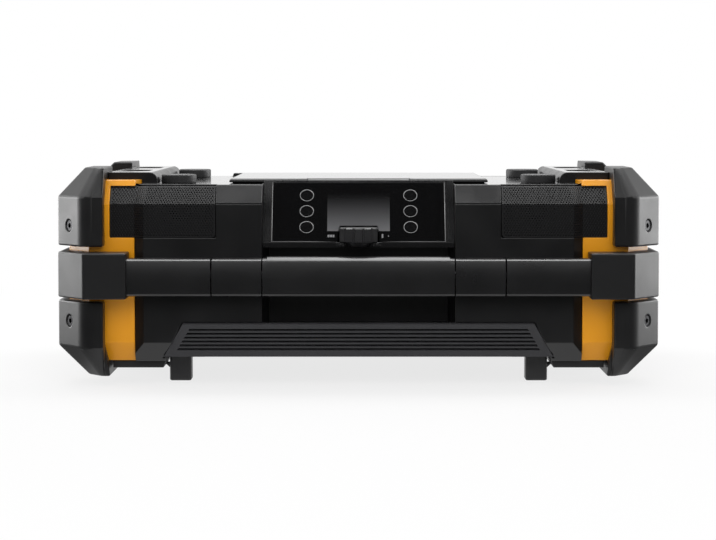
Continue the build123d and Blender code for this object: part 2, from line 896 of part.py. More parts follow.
with BuildPart() as bumper_pair:
    with BuildSketch(Plane.XY.offset(upper_low)):
        corner_face(*upper_face)
    extrude(amount=upper_mid - upper_low)
    with BuildSketch(Plane.XY.offset(upper_mid)):
        corner_face(*upper_face)
    with BuildSketch(Plane.XY.offset(overall_height)):
        corner_face(*upper_crown)
    loft(ruled=True)
    with BuildSketch(Plane.XY.offset(lower_chamfer_z)):
        corner_face(*upper_face)
    extrude(amount=lower_high - lower_chamfer_z)
    with BuildSketch(Plane.XY.offset(lower_chamfer_z)):
        corner_face(*upper_face)
    with BuildSketch(Plane.XY.offset(bumper_base)):
        corner_face(*lower_crown)
    loft(ruled=True)
    # toe that flares inward under the frame
    outline_block(
        Plane.XZ,
        [
            (bumper_inner, lower_chamfer_z),
            (bumper_inner - toe_width, bumper_base + 1),
            (bumper_inner - toe_width, bumper_base),
            (bumper_inner, bumper_base),
        ],
        -(bumper_front - lower_chamfer_front),
        -bumper_back,
    )
    add(frame_block, mode=Mode.SUBTRACT)
    for axis in screw_axes((1, 1)):
        disc(axis, (0, 0), screw_recess_radius, -screw_recess_depth, 5, Mode.SUBTRACT)
    cut_screw_holes((1, 1))

for corner, (side_x, side_y) in corners.items():
    frame_piece = corner_copy(corner_frame.part, side_x, side_y)
    frame_piece.label = f"corner_frame_{corner}"
    export_step(frame_piece, f"parts/corner_frame_{corner}.step")
    bumper_piece = corner_copy(bumper_pair.part, side_x, side_y)
    bumper_piece.label = f"bumper_{corner}"
    export_step(bumper_piece, f"parts/bumper_{corner}.step")

# ------------------------------------------------------------------ screws
with BuildPart() as case_screws:
    for axis in screw_axes(*corners.values()):
        seat = axis.offset(-screw_recess_depth)
        disc(seat, (0, 0), screw_head_radius, 0, screw_head_height)
        disc(seat, (0, 0), screw_shank_radius, -screw_reach, 0)
        with BuildSketch(seat.offset(screw_head_height - 1.2)):
            RegularPolygon(screw_socket_radius, 6)
        extrude(amount=2.0, mode=Mode.SUBTRACT)

case_screws.part.label = "case_screws"
export_step(case_screws.part, "parts/case_screws.step")

# ------------------------------------------------------------------ side rails
rail_front_cut = facet_run + 0.2
rail_plan = [
    (bracket_inner, half_depth),
    (rail_side - rail_front_cut, half_depth),
    (rail_side, half_depth - rail_front_cut * facet_slope),
    (rail_side, -(half_depth - rail_front_cut * facet_slope)),
    (rail_side - rail_front_cut, -half_depth),
    (bracket_inner, -half_depth),
    (bracket_inner, -frame_front),
    (frame_side - frame_cut, -frame_front),
    (frame_side, -(frame_front - frame_cut * facet_slope)),
    (frame_side, frame_front - frame_cut * facet_slope),
    (frame_side - frame_cut, frame_front),
    (bracket_inner, frame_front),
]

with BuildPart() as side_rail:
    with BuildSketch(Plane.XY.offset(rail_bottom)):
        with BuildLine():
            Polyline(*rail_plan, close=True)
        make_face()
        for sharp in (rail_plan[1], rail_plan[4]):
            fillet(vertices().sort_by_distance((*sharp, 0))[0], rail_corner_round)
    extrude(amount=rail_top - rail_bottom)
    outer_rim = side_rail.edges().filter_by(GeomType.LINE).filter_by(
        lambda edge: edge.center().X > rail_side - 1 and abs(edge.tangent_at(0.5).Y) > 0.9
    )
    fillet(outer_rim, rail_edge_round)
    disc(Plane.YZ, (bar_y, bar_z), core_radius, bracket_inner - 1, bracket_inner + socket_depth,
         Mode.SUBTRACT)

for name, side_x in sides.items():
    rail_piece = corner_copy(side_rail.part, side_x, 1)
    rail_piece.label = f"side_rail_{name}"
    export_step(rail_piece, f"parts/side_rail_{name}.step")

# ------------------------------------------------------------------ handle bar
with BuildPart() as handle_core:
    core_half = bracket_inner + socket_depth
    disc(Plane.YZ, (bar_y, bar_z), core_radius, -core_half, core_half)

handle_core.part.label = "handle_core"
export_step(handle_core.part, "parts/handle_core.step")


def bar_section(start, end, deep, tall, corner, z):
    """In the current part: a rounded length of the bar, with a crowned front, between two X."""
    with BuildSketch(Plane.YZ.offset(start)) as section:
        with Locations((bar_y, z)):
            RectangleRounded(deep, tall, corner)
        with Locations((bar_y - deep / 2 + bar_crown_radius, z)):
            Circle(bar_crown_radius, mode=Mode.INTERSECT)
    extrude(section.sketch, amount=end - start)


with BuildPart() as handle_grip:
    bar_section(-sleeve_split + groove / 2, sleeve_split - groove / 2, bar_deep, bar_tall,
                bar_round, bar_z + bar_lift)
    bar_section(-grip_half, grip_half, bar_deep, bar_tall + grip_swell, bar_round + 2,
                bar_z + grip_lift)
    disc(Plane.YZ, (bar_y, bar_z), core_radius, -2 * grip_half, 2 * grip_half, Mode.SUBTRACT)

handle_grip.part.label = "handle_grip"
export_step(handle_grip.part, "parts/handle_grip.step")

with BuildPart() as handle_sleeves:
    for side in (-1, 1):
        for near, far in (
            (sleeve_split + groove / 2, sleeve_joint - groove / 2),
            (sleeve_joint + groove / 2, bracket_inner),
        ):
            bar_section(side * near, side * far, bar_deep, bar_tall, bar_round,
                        bar_z + bar_lift)
    disc(Plane.YZ, (bar_y, bar_z), core_radius, -half_length, half_length, Mode.SUBTRACT)

handle_sleeves.part.label = "handle_sleeves"
export_step(handle_sleeves.part, "parts/handle_sleeves.step")

# ------------------------------------------------------------------ corner grilles
grille_low = pocket_bottom + 0.3
grille_top = window_top - 0.3
grille_lean = bevel_lean(grille_top - parting_z)
leg_inset = 4.0
grille_line = [
    (grille_inner + 0.5, housing_front - grille_setback),
    (frame_inner - strip_width, housing_front - grille_setback),
    (frame_inner, frame_front - 1.5),
    (grille_outer - 0.3, frame_front - 1.5),
]
grille_plan = grille_line + [
    (x + shift, y - grille_thickness)
    for (x, y), shift in zip(reversed(grille_line), (0, -0.4, -0.4, 0))
]

with BuildPart() as speaker_grille:
    outline_block(Plane.XY, grille_plan, grille_low, parting_z)
    with BuildSketch(Plane.XY.offset(parting_z)):
        with BuildLine():
            Polyline(*grille_plan, close=True)
        make_face()
    rise = grille_top - parting_z
    extrude(amount=hypot(rise, grille_lean), dir=(0, -grille_lean, rise))
    low_corner = speaker_grille.edges().filter_by(Axis.Y).group_by(Axis.X)[0].sort_by(Axis.Z)[0]
    fillet(low_corner, grille_round)
    # legs that hold the sheet off the baffle
    for x, y in (
        (grille_inner + leg_inset, housing_front - grille_setback),
        (frame_inner - strip_width - leg_inset, housing_front - grille_setback),
        (grille_outer - leg_inset, frame_front - 1.5),
    ):
        for z in (pocket_bottom + leg_inset, parting_z - leg_inset):
            disc(Plane.XZ, (x, z), 1.5, -(y - grille_thickness), -baffle_y)

for corner, (side_x, side_y) in corners.items():
    grille_piece = corner_copy(speaker_grille.part, side_x, side_y)
    grille_piece.label = f"speaker_grille_{corner}"
    export_step(grille_piece, f"parts/speaker_grille_{corner}.step")

# ------------------------------------------------------------------ speakers
with BuildPart() as driver_baskets:
    for axis in driver_axes():
        disc(axis, (0, 0), driver_radius, 0, 1.6)
        disc(axis, (0, 0), cone_radius + 0.6, -14, 0)
        disc(axis, (0, 0), cone_radius - 2.0, -24, -14)
        disc(axis, (0, 0), cone_radius, -12, 2, Mode.SUBTRACT)

driver_baskets.part.label = "driver_baskets"
export_step(driver_baskets.part, "parts/driver_baskets.step")

with BuildPart() as driver_cones:
    for axis in driver_axes():
        with Locations(axis.offset(-7).location):
            Cone(4.0, cone_radius - fit_gap, 10.0)
        with Locations(axis.offset(-3.5).location):
            Cone(2.0, cone_radius - 2.2, 12.0, mode=Mode.SUBTRACT)
        disc(axis, (0, 0), 4.0, -10, -6)

driver_cones.part.label = "driver_cones"
export_step(driver_cones.part, "parts/driver_cones.step")

with BuildPart() as woofer_baskets:
    for side in (-1, 1):
        seat = Plane(origin=(side * woofer_x, woofer_y, floor_z))
        disc(seat, (0, 0), woofer_radius, 0, 3)
        with Locations(seat.offset(18).location):
            Cone(woofer_radius - 4, 24.0, 30.0)
        disc(seat, (0, 0), 26.0, 33, 47)
        with Locations(seat.offset(15).location):
            Cone(woofer_radius - 6, 22.0, 30.0, mode=Mode.SUBTRACT)
        disc(seat, (0, 0), woofer_radius - 6, -1, 3.5, Mode.SUBTRACT)

woofer_baskets.part.label = "woofer_baskets"
export_step(woofer_baskets.part, "parts/woofer_baskets.step")

with BuildPart() as woofer_cones:
    for side in (-1, 1):
        seat = Plane(origin=(side * woofer_x, woofer_y, floor_z))
        with Locations(seat.offset(11).location):
            Cone(woofer_radius - 9, 14.0, 18.0)
        with Locations(seat.offset(9).location):
            Cone(woofer_radius - 11, 12.0, 18.0, mode=Mode.SUBTRACT)
        disc(seat, (0, 0), woofer_radius - 6.5, 1.5, 2.6)
        disc(seat, (0, 0), woofer_radius - 11, 1.0, 3.0, Mode.SUBTRACT)
        disc(seat, (0, 0), 10.0, 19.0, 29.0)

woofer_cones.part.label = "woofer_cones"
export_step(woofer_cones.part, "parts/woofer_cones.step")

# ------------------------------------------------------------------ feet and pucks
with BuildPart() as feet:
    for side_x, side_y in corners.values():
        with BuildSketch():
            with Locations((side_x * foot_x, side_y * foot_y)):
                RectangleRounded(foot_width, foot_width, 2.0)
        extrude(amount=foot_height)
        gusset = [
            (side_x * (foot_x + foot_width / 2 - 0.5), skid_z - 4),
            (side_x * (foot_x + foot_width / 2 - 0.5), skid_z),
            (side_x * (foot_x + foot_width / 2 + 4), skid_z),
        ]
        outline_block(Plane.XZ, gusset, -side_y * foot_y - 5, -side_y * foot_y + 5)
    chamfer(feet.edges().group_by(Axis.Z)[0], 0.8)

feet.part.label = "feet"
export_step(feet.part, "parts/feet.step")

with BuildPart() as stacking_pucks:
    for side_x, side_y in corners.values():
        disc(Plane.XY, (side_x * puck_x, side_y * foot_y), puck_radius, deck_z, deck_z + puck_height)
    fillet(stacking_pucks.edges().group_by(Axis.Z)[-1], 1.2)

stacking_pucks.part.label = "stacking_pucks"
export_step(stacking_pucks.part, "parts/stacking_pucks.step")

# ------------------------------------------------------------------ control panel
panel_side = recess_half - fit_gap
glass_high = panel_length - glass_top_margin
board_low = 10.0
board_high = 49.0
board_depth = 10.0
switch_half = 3.0

with BuildPart() as knob_pocket:
    disc(Plane.XY, (0, knob_y), pocket_radius, panel_bottom_z, pocket_top)

with BuildPart() as pocket_liner:
    disc(Plane.XY, (0, knob_y), pocket_radius + pocket_wall, recess_top + 1,
         pocket_top + pocket_wall)
    split(bisect_by=panel_plane, keep=Keep.BOTTOM)

with BuildPart() as control_panel:
    slab(panel_plane, (-panel_side, 0), (panel_side, panel_length), -panel_plate, 0)
    slab(Plane.XY, (-panel_side, panel_bottom_y), (panel_side, recess_back_y + wall),
         recess_top, panel_bottom_z)
    # cheeks beside the panel, set back from the housing's face
    cheek_front = -(housing_front - cheek_setback)
    for side in (-1, 1):
        cheek = [
            (panel_bottom_y, recess_top),
            (cheek_front, recess_top + 3),
            (cheek_front, parting_z),
            (cheek_front + bevel_depth, deck_z),
            panel_point(panel_length, 0),
            panel_point(0, 0),
        ]
        outline_block(
            Plane.YZ.offset(side * cheek_inner), cheek, 0, side * (panel_side - cheek_inner)
        )
    # dial shelf, dial pocket and its liner
    with Locations((0, knob_y, (recess_top + panel_bottom_z) / 2 + 0.4)):
        Cone(knob_radius - 3.4, knob_radius - 1.2, shelf_thickness - 0.8)
    add(pocket_liner.part)
    add(knob_pocket.part, mode=Mode.SUBTRACT)
    # seat for the glossy overlay, module window and button holes
    slab(
        panel_plane,
        (-glass_half - 0.1, glass_margin - 0.1),
        (glass_half + 0.1, glass_high + 0.1),
        -glass_thickness,
        3,
        Mode.SUBTRACT,
    )
    slab(panel_plane, (-window_half - 1, module_low - 0.2), (window_half + 1, window_high + 0.8),
         -2 * panel_plate, 1, Mode.SUBTRACT)
    for side in (-1, 1):
        for height in button_heights:
            disc(panel_plane, (side * button_x, height), button_radius + button_gap,
                 -2 * panel_plate, 1, Mode.SUBTRACT)
    # posts for the control board
    for side in (-1, 1):
        for height in (board_low + 2.5, board_high - 3):
            disc(panel_plane, (side * (glass_half - 2), height), 2.0, -board_depth, -panel_plate)

control_panel.part.label = "control_panel"
export_step(control_panel.part, "parts/control_panel.step")

with BuildPart() as panel_glass:
    slab(panel_plane, (-glass_half, glass_margin), (glass_half, glass_high), -glass_thickness, 0)
    slab(panel_plane, (-window_half - 0.05, window_low - 0.05),
         (window_half + 0.05, window_high + 0.05), -2, 1, Mode.SUBTRACT)
    for side in (-1, 1):
        for height in button_heights:
            disc(panel_plane, (side * button_x, height), button_radius + button_gap, -2, 1,
                 Mode.SUBTRACT)
    add(knob_pocket.part, mode=Mode.SUBTRACT)

panel_glass.part.label = "panel_glass"
export_step(panel_glass.part, "parts/panel_glass.step")

with BuildPart() as display_window:
    slab(panel_plane, (-window_half, window_low), (window_half, window_high), -glass_thickness, 0)
    add(knob_pocket.part, mode=Mode.SUBTRACT)

display_window.part.label = "display_window"
export_step(display_window.part, "parts/display_window.step")

module_back = 3.0

with BuildPart() as display_module:
    slab(panel_plane, (-window_half, module_low), (window_half, window_high + 0.5),
         -panel_plate, -glass_thickness)
    slab(panel_plane, (-window_half - 4, module_low), (window_half + 4, window_high + 3),
         -panel_plate - module_back, -panel_plate)

display_module.part.label = "display_module"
export_step(display_module.part, "parts/display_module.step")

button_nose = 0.2
button_flange_top = panel_plate + 0.2
button_flange_bottom = button_flange_top + 1.2
for side in (-1, 1):
    for index, height in enumerate(button_heights):
        with BuildPart() as button:
            disc(panel_plane, (side * button_x, height), button_radius,
                 -button_flange_bottom, button_nose)
            disc(panel_plane, (side * button_x, height), button_radius + 0.9,
                 -button_flange_bottom, -button_flange_top)
            rims = button.edges().filter_by(GeomType.CIRCLE)
            fillet(rims.sort_by(Axis(panel_plane.origin, panel_plane.z_dir))[-1], 0.3)
        number = index + 1 if side < 0 else index + 4
        button.part.label = f"button_{number}"
        export_step(button.part, f"parts/button_{number}.step")

with BuildPart() as control_board:
    slab(panel_plane, (-glass_half - 3, board_low), (glass_half + 3, board_high),
         -board_depth - board_thickness, -board_depth)
    # notch round the dial pocket, tact switches and the display's connector
    notch_half = pocket_radius + pocket_wall + 3.0
    slab(panel_plane, (-notch_half, board_low - 1), (notch_half, module_low + 4.0),
         -board_depth - 3, -board_depth + 1, Mode.SUBTRACT)
    switch_top = button_flange_bottom + button_travel + 0.1
    for side in (-1, 1):
        for height in button_heights:
            slab(
                panel_plane,
                (side * button_x - switch_half, height - switch_half),
                (side * button_x + switch_half, height + switch_half),
                -board_depth,
                -switch_top,
            )
    slab(panel_plane, (-10, 36), (10, 44), -board_depth, -panel_plate - module_back)

control_board.part.label = "control_board"
export_step(control_board.part, "parts/control_board.step")

# ------------------------------------------------------------------ thumb dial and encoder
knob_bore = knob_radius - knob_skirt
encoder_radius = knob_bore - 1.0
shaft_radius = 3.0
knob_facets = 12
encoder_top = panel_bottom_z + 5.0
shaft_top = knob_top - 1.5

with BuildPart() as encoder:
    disc(Plane.XY, (0, knob_y), encoder_radius, panel_bottom_z, encoder_top)
    disc(Plane.XY, (0, knob_y), shaft_radius, encoder_top, shaft_top)

encoder.part.label = "encoder"
export_step(encoder.part, "parts/encoder.step")

with BuildPart() as knob:
    with BuildSketch(Plane.XY.offset(knob_bottom)):
        with Locations((0, knob_y)):
            RegularPolygon(knob_radius, knob_facets, rotation=180 / knob_facets)
    extrude(amount=knob_top - knob_bottom)
    chamfer(knob.edges().group_by(Axis.Z)[-1], 0.8)
    with BuildSketch(Plane.XY.offset(knob_bottom)):
        with Locations((0, knob_y)):
            with PolarLocations(knob_radius - 0.2, knob_facets, start_angle=180 / knob_facets):
                Circle(0.9)
    extrude(amount=knob_top - knob_bottom, mode=Mode.SUBTRACT)
    disc(Plane.XY, (0, knob_y), knob_bore, knob_bottom - 1, encoder_top + 0.6, Mode.SUBTRACT)
    disc(Plane.XY, (0, knob_y), shaft_radius + shaft_clearance, encoder_top, shaft_top + 0.3,
         Mode.SUBTRACT)

knob.part.label = "knob"
export_step(knob.part, "parts/knob.step")

# ------------------------------------------------------------------ storage tray, lid and latch
with BuildPart() as storage_tray:
    corner_box((-tray_half, tray_front, tray_floor), (tray_half, tray_back, deck_z))
    corner_box(
        (-tray_half - tray_flange, tray_front - tray_flange, deck_z - wall - tray_wall),
        (tray_half + tray_flange, tray_back + tray_flange, deck_z - wall),
    )
    corner_box(
        (-tray_half + tray_wall, tray_front + tray_wall, tray_floor + tray_wall),
        (tray_half - tray_wall, tray_back - tray_wall, deck_z + 1),
        Mode.SUBTRACT,
    )

storage_tray.part.label = "storage_tray"
export_step(storage_tray.part, "parts/storage_tray.step")

lid_half = tray_half + lid_margin
lid_front = tray_front - lid_front_margin
lid_back = tray_back + lid_margin + 1
gasket_width = 3.0
gasket_inset = 0.5
latch_back = lid_front + 9.0
latch_axis_y = latch_back - 2.0
latch_axis_z = lid_z + 1.6

with BuildPart() as storage_lid:
    slab(Plane.XY, (-lid_half, lid_front), (lid_half, lid_back), lid_z, lid_top)
    fillet(storage_lid.edges().group_by(Axis.Z)[-1], lid_edge_round)
    corner_box((-latch_half, lid_front - 1, lid_z - 1), (latch_half, latch_back, lid_top + 1),
               Mode.SUBTRACT)
    for low, high in lid_knuckles:
        disc(Plane.YZ, (lid_axis_y, lid_axis_z), lid_knuckle_radius, low, high)
        corner_box((low, lid_back - 2, lid_z), (high, lid_axis_y, lid_axis_z + 1.6))
    disc(Plane.YZ, (lid_axis_y, lid_axis_z), lid_pin_radius + shaft_clearance, -lid_half,
         lid_half, Mode.SUBTRACT)
    # sockets for the latch's trunnions
    disc(Plane.YZ, (latch_axis_y, latch_axis_z), latch_pin_radius + shaft_clearance,
         -latch_half - 3, latch_half + 3, Mode.SUBTRACT)

storage_lid.part.label = "storage_lid"
export_step(storage_lid.part, "parts/storage_lid.step")

with BuildPart() as lid_latch:
    latch_side = latch_half - moving_gap
    corner_box((-latch_side, lid_front, lid_z), (latch_side, latch_back - 0.4, lid_top - 0.4))
    front_edge = lid_latch.edges().filter_by(Axis.X).group_by(Axis.Z)[-1].sort_by(Axis.Y)[0]
    fillet(front_edge, lid_edge_round)
    # the pivot edge is rounded about the axis so that it turns inside the lid's notch
    corner_box((-latch_side, latch_axis_y, lid_z - 1), (latch_side, latch_back, lid_top + 1),
               Mode.SUBTRACT)
    disc(Plane.YZ, (latch_axis_y, latch_axis_z), 1.25, -latch_side, latch_side)
    disc(Plane.YZ, (latch_axis_y, latch_axis_z), latch_pin_radius, -latch_half - 2.5,
         latch_half + 2.5)
    # tab that hooks under the deck
    corner_box((-latch_tab_half, latch_slot_y + 1.5, deck_z - wall - 0.5),
               (latch_tab_half, latch_slot_y + 2.7, lid_z + 0.5))

lid_latch.part.label = "lid_latch"
export_step(lid_latch.part, "parts/lid_latch.step")

with BuildPart() as lid_gasket:
    ring = gasket_inset + gasket_width
    slab(Plane.XY, (-tray_half - ring, tray_front - ring), (tray_half + ring, tray_back + ring),
         deck_z, deck_z + gasket_height)
    slab(Plane.XY, (-tray_half - gasket_inset, tray_front - gasket_inset),
         (tray_half + gasket_inset, tray_back + gasket_inset), deck_z - 1, deck_z + 2,
         Mode.SUBTRACT)

lid_gasket.part.label = "lid_gasket"
export_step(lid_gasket.part, "parts/lid_gasket.step")

# ------------------------------------------------------------------ ports inside the tray
port_y = tray_back - tray_wall
port_low = tray_floor + 9.5
port_high = port_low + 21.5
socket_z = port_low + 9.5
flap_axis_y = port_y - 3.2
flap_axis_z = port_low + 2.1
flap_height = 17.0
flap_lug = 2.5
flap_pin_radius = 0.8

with BuildPart() as port_panel:
    corner_box((-port_half, port_y - 2, port_low), (port_half, port_y, port_high))
    # charging socket and round audio socket
    corner_box((-9.5, port_y - 3, socket_z - 3), (3.5, port_y - 0.6, socket_z + 3), Mode.SUBTRACT)
    disc(Plane.XZ, (10.5, socket_z), 3.0, -port_y + 0.6, -port_y + 3, Mode.SUBTRACT)
    lug_start = flap_half + 0.5
    for side in (-1, 1):
        corner_box((side * lug_start, flap_axis_y - 1.6, flap_axis_z - 1.6),
                   (side * (lug_start + flap_lug), port_y - 1, flap_axis_z + 1.6))
    disc(Plane.YZ, (flap_axis_y, flap_axis_z), flap_pin_radius + shaft_clearance,
         -lug_start - flap_lug - 1, lug_start + flap_lug + 1, Mode.SUBTRACT)

port_panel.part.label = "port_panel"
export_step(port_panel.part, "parts/port_panel.step")

with BuildPart() as port_cover:
    corner_box((-flap_half, flap_axis_y - flap_pin_radius, flap_axis_z),
               (flap_half, flap_axis_y + flap_pin_radius, flap_axis_z + flap_height))
    flap_pin_half = lug_start + flap_lug - 0.2
    disc(Plane.YZ, (flap_axis_y, flap_axis_z), flap_pin_radius, -flap_pin_half, flap_pin_half)

port_cover.part.label = "port_cover"
export_step(port_cover.part, "parts/port_cover.step")

# ------------------------------------------------------------------ battery bay, door and latch
terminal_z = door_mid - 4.5
terminal_xs = (-18.0, 0.0, 18.0)
bolt_half = 3.7

with BuildPart() as battery_bay:
    corner_box(
        (-door_half - bay_wall, bay_front_y, door_low - bay_wall),
        (door_half + bay_wall, bay_back_y, door_high + bay_wall),
    )
    corner_box(
        (-door_half, bay_front_y + bay_wall, door_low),
        (door_half, bay_back_y + 1, door_high),
        Mode.SUBTRACT,
    )
    # guide rails for the battery, its terminal block and the pocket for the door's bolt
    for side in (-1, 1):
        corner_box((side * (door_half - 12), bay_front_y, door_mid - 8.5),
                   (side * door_half, bay_back_y - 6, door_mid - 4.5))
    corner_box((-28, bay_front_y, terminal_z - 14), (28, bay_front_y + 12, terminal_z + 14))
    for x in terminal_xs:
        corner_box((x - 0.5, bay_front_y + 8, terminal_z - 10),
                   (x + 0.5, bay_front_y + 14, terminal_z + 10), Mode.SUBTRACT)
    corner_box((door_half - 1, bay_back_y - 3.2, door_mid - bolt_half - 0.5),
               (door_half + 3, bay_back_y + 1, door_mid + bolt_half + 0.5), Mode.SUBTRACT)

battery_bay.part.label = "battery_bay"
export_step(battery_bay.part, "parts/battery_bay.step")

with BuildPart() as battery_terminals:
    for x in terminal_xs:
        corner_box((x - 0.5, bay_front_y + 8, terminal_z - 10),
                   (x + 0.5, bay_front_y + 26, terminal_z + 10))

battery_terminals.part.label = "battery_terminals"
export_step(battery_terminals.part, "parts/battery_terminals.step")

thumb_left = door_half - 15.0
thumb_right = thumb_left + 11.5
stem_left = thumb_left + 3.8
stem_right = stem_left + 5.4
stem_half = 2.5

with BuildPart() as battery_door:
    corner_box((-door_half, bay_back_y, door_low), (door_half, housing_front, door_high))
    for low, high in door_knuckles:
        corner_box((door_axis_x, housing_front - 2.2, low), (-door_half + 1, housing_front, high))
        disc(Plane.XY, (door_axis_x, door_axis_y), knuckle_radius, low, high)
    disc(Plane.XY, (door_axis_x, door_axis_y), door_pin_radius + shaft_clearance, door_low,
         door_high, Mode.SUBTRACT)
    # two raised ribs and the slot that the latch's stem slides in
    for z in (door_mid - 20.5, door_mid + 20.5):
        corner_box((-door_half + 18, housing_front, z - 3), (thumb_left - 8, housing_front + 1.2, z + 3))
    corner_box((stem_left - moving_gap, bay_back_y - 1, door_mid - stem_half - moving_gap),
               (stem_right + bolt_travel + moving_gap, housing_front + 1,
                door_mid + stem_half + moving_gap), Mode.SUBTRACT)

battery_door.part.label = "battery_door"
export_step(battery_door.part, "parts/battery_door.step")

with BuildPart() as door_latch:
    corner_box((stem_left, bay_back_y - fit_gap, door_mid - stem_half),
               (stem_right, housing_front + 0.3, door_mid + stem_half))
    corner_box((thumb_left, housing_front + fit_gap, door_mid - 6.5),
               (thumb_right, housing_front + 2.6, door_mid + 6.5))
    corner_box((thumb_left + 2, bay_back_y - 2.6, door_mid - bolt_half),
               (door_half - 1.2, bay_back_y - fit_gap, door_mid + bolt_half))
    # grooves for the thumb
    for x in (thumb_left + 3.0, thumb_left + 5.5, thumb_left + 8.0):
        corner_box((x - 0.5, housing_front + 1.9, door_mid - 7),
                   (x + 0.5, housing_front + 3, door_mid + 7), Mode.SUBTRACT)

door_latch.part.label = "door_latch"
export_step(door_latch.part, "parts/door_latch.step")

# ------------------------------------------------------------------ side latches
with BuildPart() as side_latch:
    half = side_latch_half
    side_low = side_axis_z - 36.0
    disc(Plane.XZ, (side_axis_x, side_axis_z), side_barrel, -half, half)
    corner_box((side_axis_x - 2, -half, side_low), (side_axis_x + 2, half, side_axis_z))
    # hook at its lower edge and a raised pad for the fingers
    corner_box((side_axis_x - 5, -half + 4, side_low - 2), (side_axis_x + 2, half - 4, side_low + 3))
    corner_box((side_axis_x + 2, -half + 12, side_low + 8), (side_axis_x + 3.2, half - 12, side_low + 22))
    disc(Plane.XZ, (side_axis_x, side_axis_z), side_pin_radius + shaft_clearance, -half - 1,
         half + 1, Mode.SUBTRACT)

for name, side_x in sides.items():
    latch_piece = corner_copy(side_latch.part, side_x, 1)
    latch_piece.label = f"side_latch_{name}"
    export_step(latch_piece, f"parts/side_latch_{name}.step")

# ------------------------------------------------------------------ hinge pins
with BuildPart() as hinge_pins:
    disc(Plane.YZ, (lid_axis_y, lid_axis_z), lid_pin_radius, lid_ears[0][0], lid_ears[-1][1])
    disc(Plane.XY, (door_axis_x, door_axis_y), door_pin_radius, door_ears[0][0], door_ears[-1][1])
    side_pin_half = side_latch_half + moving_gap + side_ear_width
    for side in (-1, 1):
        disc(Plane.XZ, (side * side_axis_x, side_axis_z), side_pin_radius, -side_pin_half,
             side_pin_half)
    disc(Plane.XZ, (mast_pivot_x, mast_z), mast_pin_radius, -mast_y - mast_pin_half,
         -mast_y + mast_pin_half)

hinge_pins.part.label = "hinge_pins"
export_step(hinge_pins.part, "parts/hinge_pins.step")

# ------------------------------------------------------------------ antenna
rod_seat = 13.0

with BuildPart() as antenna_mast:
    barrel_half = mast_slot - moving_gap
    disc(Plane.XZ, (mast_pivot_x, mast_z), mast_barrel, -mast_y - barrel_half, -mast_y + barrel_half)
    disc(Plane.YZ, (mast_y, mast_z), mast_radius, mast_pivot_x, mast_pivot_x + mast_length)
    disc(Plane.YZ, (mast_y, mast_z), rod_radius + shaft_clearance, mast_pivot_x + rod_seat - 1,
         mast_pivot_x + mast_length + 1, Mode.SUBTRACT)
    disc(Plane.XZ, (mast_pivot_x, mast_z), mast_pin_radius + shaft_clearance,
         -mast_y - mast_slot, -mast_y + mast_slot, Mode.SUBTRACT)

antenna_mast.part.label = "antenna_mast"
export_step(antenna_mast.part, "parts/antenna_mast.step")

with BuildPart() as antenna_rod:
    rod_end = mast_pivot_x + mast_length
    disc(Plane.YZ, (mast_y, mast_z), rod_radius, mast_pivot_x + rod_seat, rod_end + 0.3)
    disc(Plane.YZ, (mast_y, mast_z), mast_radius, rod_end + 0.3, rod_end + 6)

antenna_rod.part.label = "antenna_rod"
export_step(antenna_rod.part, "parts/antenna_rod.step")

# ------------------------------------------------------------------ boards, supply and inlet
with BuildPart() as main_board:
    board_back = board_front + board_deep
    top = board_level + board_thickness
    corner_box((-board_half, board_front, board_level), (board_half, board_back, top))
    # processor, finned amplifier block and a row of capacitors
    corner_box((-20, board_front + 15, top), (4, board_front + 39, top + 2.4))
    corner_box((20, board_front + 7, top), (50, board_front + 45, top + 14.4))
    for x in (25.0, 31.0, 37.0, 43.0):
        corner_box((x, board_front + 6, top + 4), (x + 2.5, board_front + 46, top + 15), Mode.SUBTRACT)
    for x in (-50.0, -38.0, -26.0):
        disc(Plane.XY, (x, board_back - 15), 4.5, top, top + 12.4)

main_board.part.label = "main_board"
export_step(main_board.part, "parts/main_board.step")

with BuildPart() as power_supply:
    top = supply_level + board_thickness
    corner_box((supply_left, supply_front, supply_level),
               (supply_left + supply_wide, supply_back, top))
    # transformer, heat sink and smoothing capacitor
    corner_box((supply_left + 5, supply_front + 10, top),
               (supply_left + 35, supply_front + 45, top + 28.4))
    corner_box((supply_left + 42, supply_front + 10, top),
               (supply_left + 56, supply_back - 10, top + 19.4))
    disc(Plane.XY, (supply_left + 22, supply_back - 14), 8.0, top, top + 12.4)

power_supply.part.label = "power_supply"
export_step(power_supply.part, "parts/power_supply.step")

flange = 3.0
inlet_wall = 2.5
pin_spread = 4.3

with BuildPart() as ac_inlet:
    wide, tall = inlet_half
    corner_box((inlet_x - wide, housing_front - inlet_depth, inlet_z - tall),
               (inlet_x + wide, housing_front, inlet_z + tall))
    corner_box((inlet_x - wide - flange, housing_front, inlet_z - tall - flange),
               (inlet_x + wide + flange, housing_front + 1.5, inlet_z + tall + flange))
    corner_box((inlet_x - wide + inlet_wall, housing_front - 13, inlet_z - tall + inlet_wall),
               (inlet_x + wide - inlet_wall, housing_front + 2, inlet_z + tall - inlet_wall),
               Mode.SUBTRACT)
    for x in (inlet_x - pin_spread, inlet_x + pin_spread):
        disc(Plane.XZ, (x, inlet_z), 1.2, -housing_front + 2, -housing_front + 13.5)

ac_inlet.part.label = "ac_inlet"
export_step(ac_inlet.part, "parts/ac_inlet.step")
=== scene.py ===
"""Looks of the jobsite radio: camera, lights, materials and the fine pieces round the CAD frame."""

import math

import bmesh
import bpy
from mathutils import Matrix, Vector


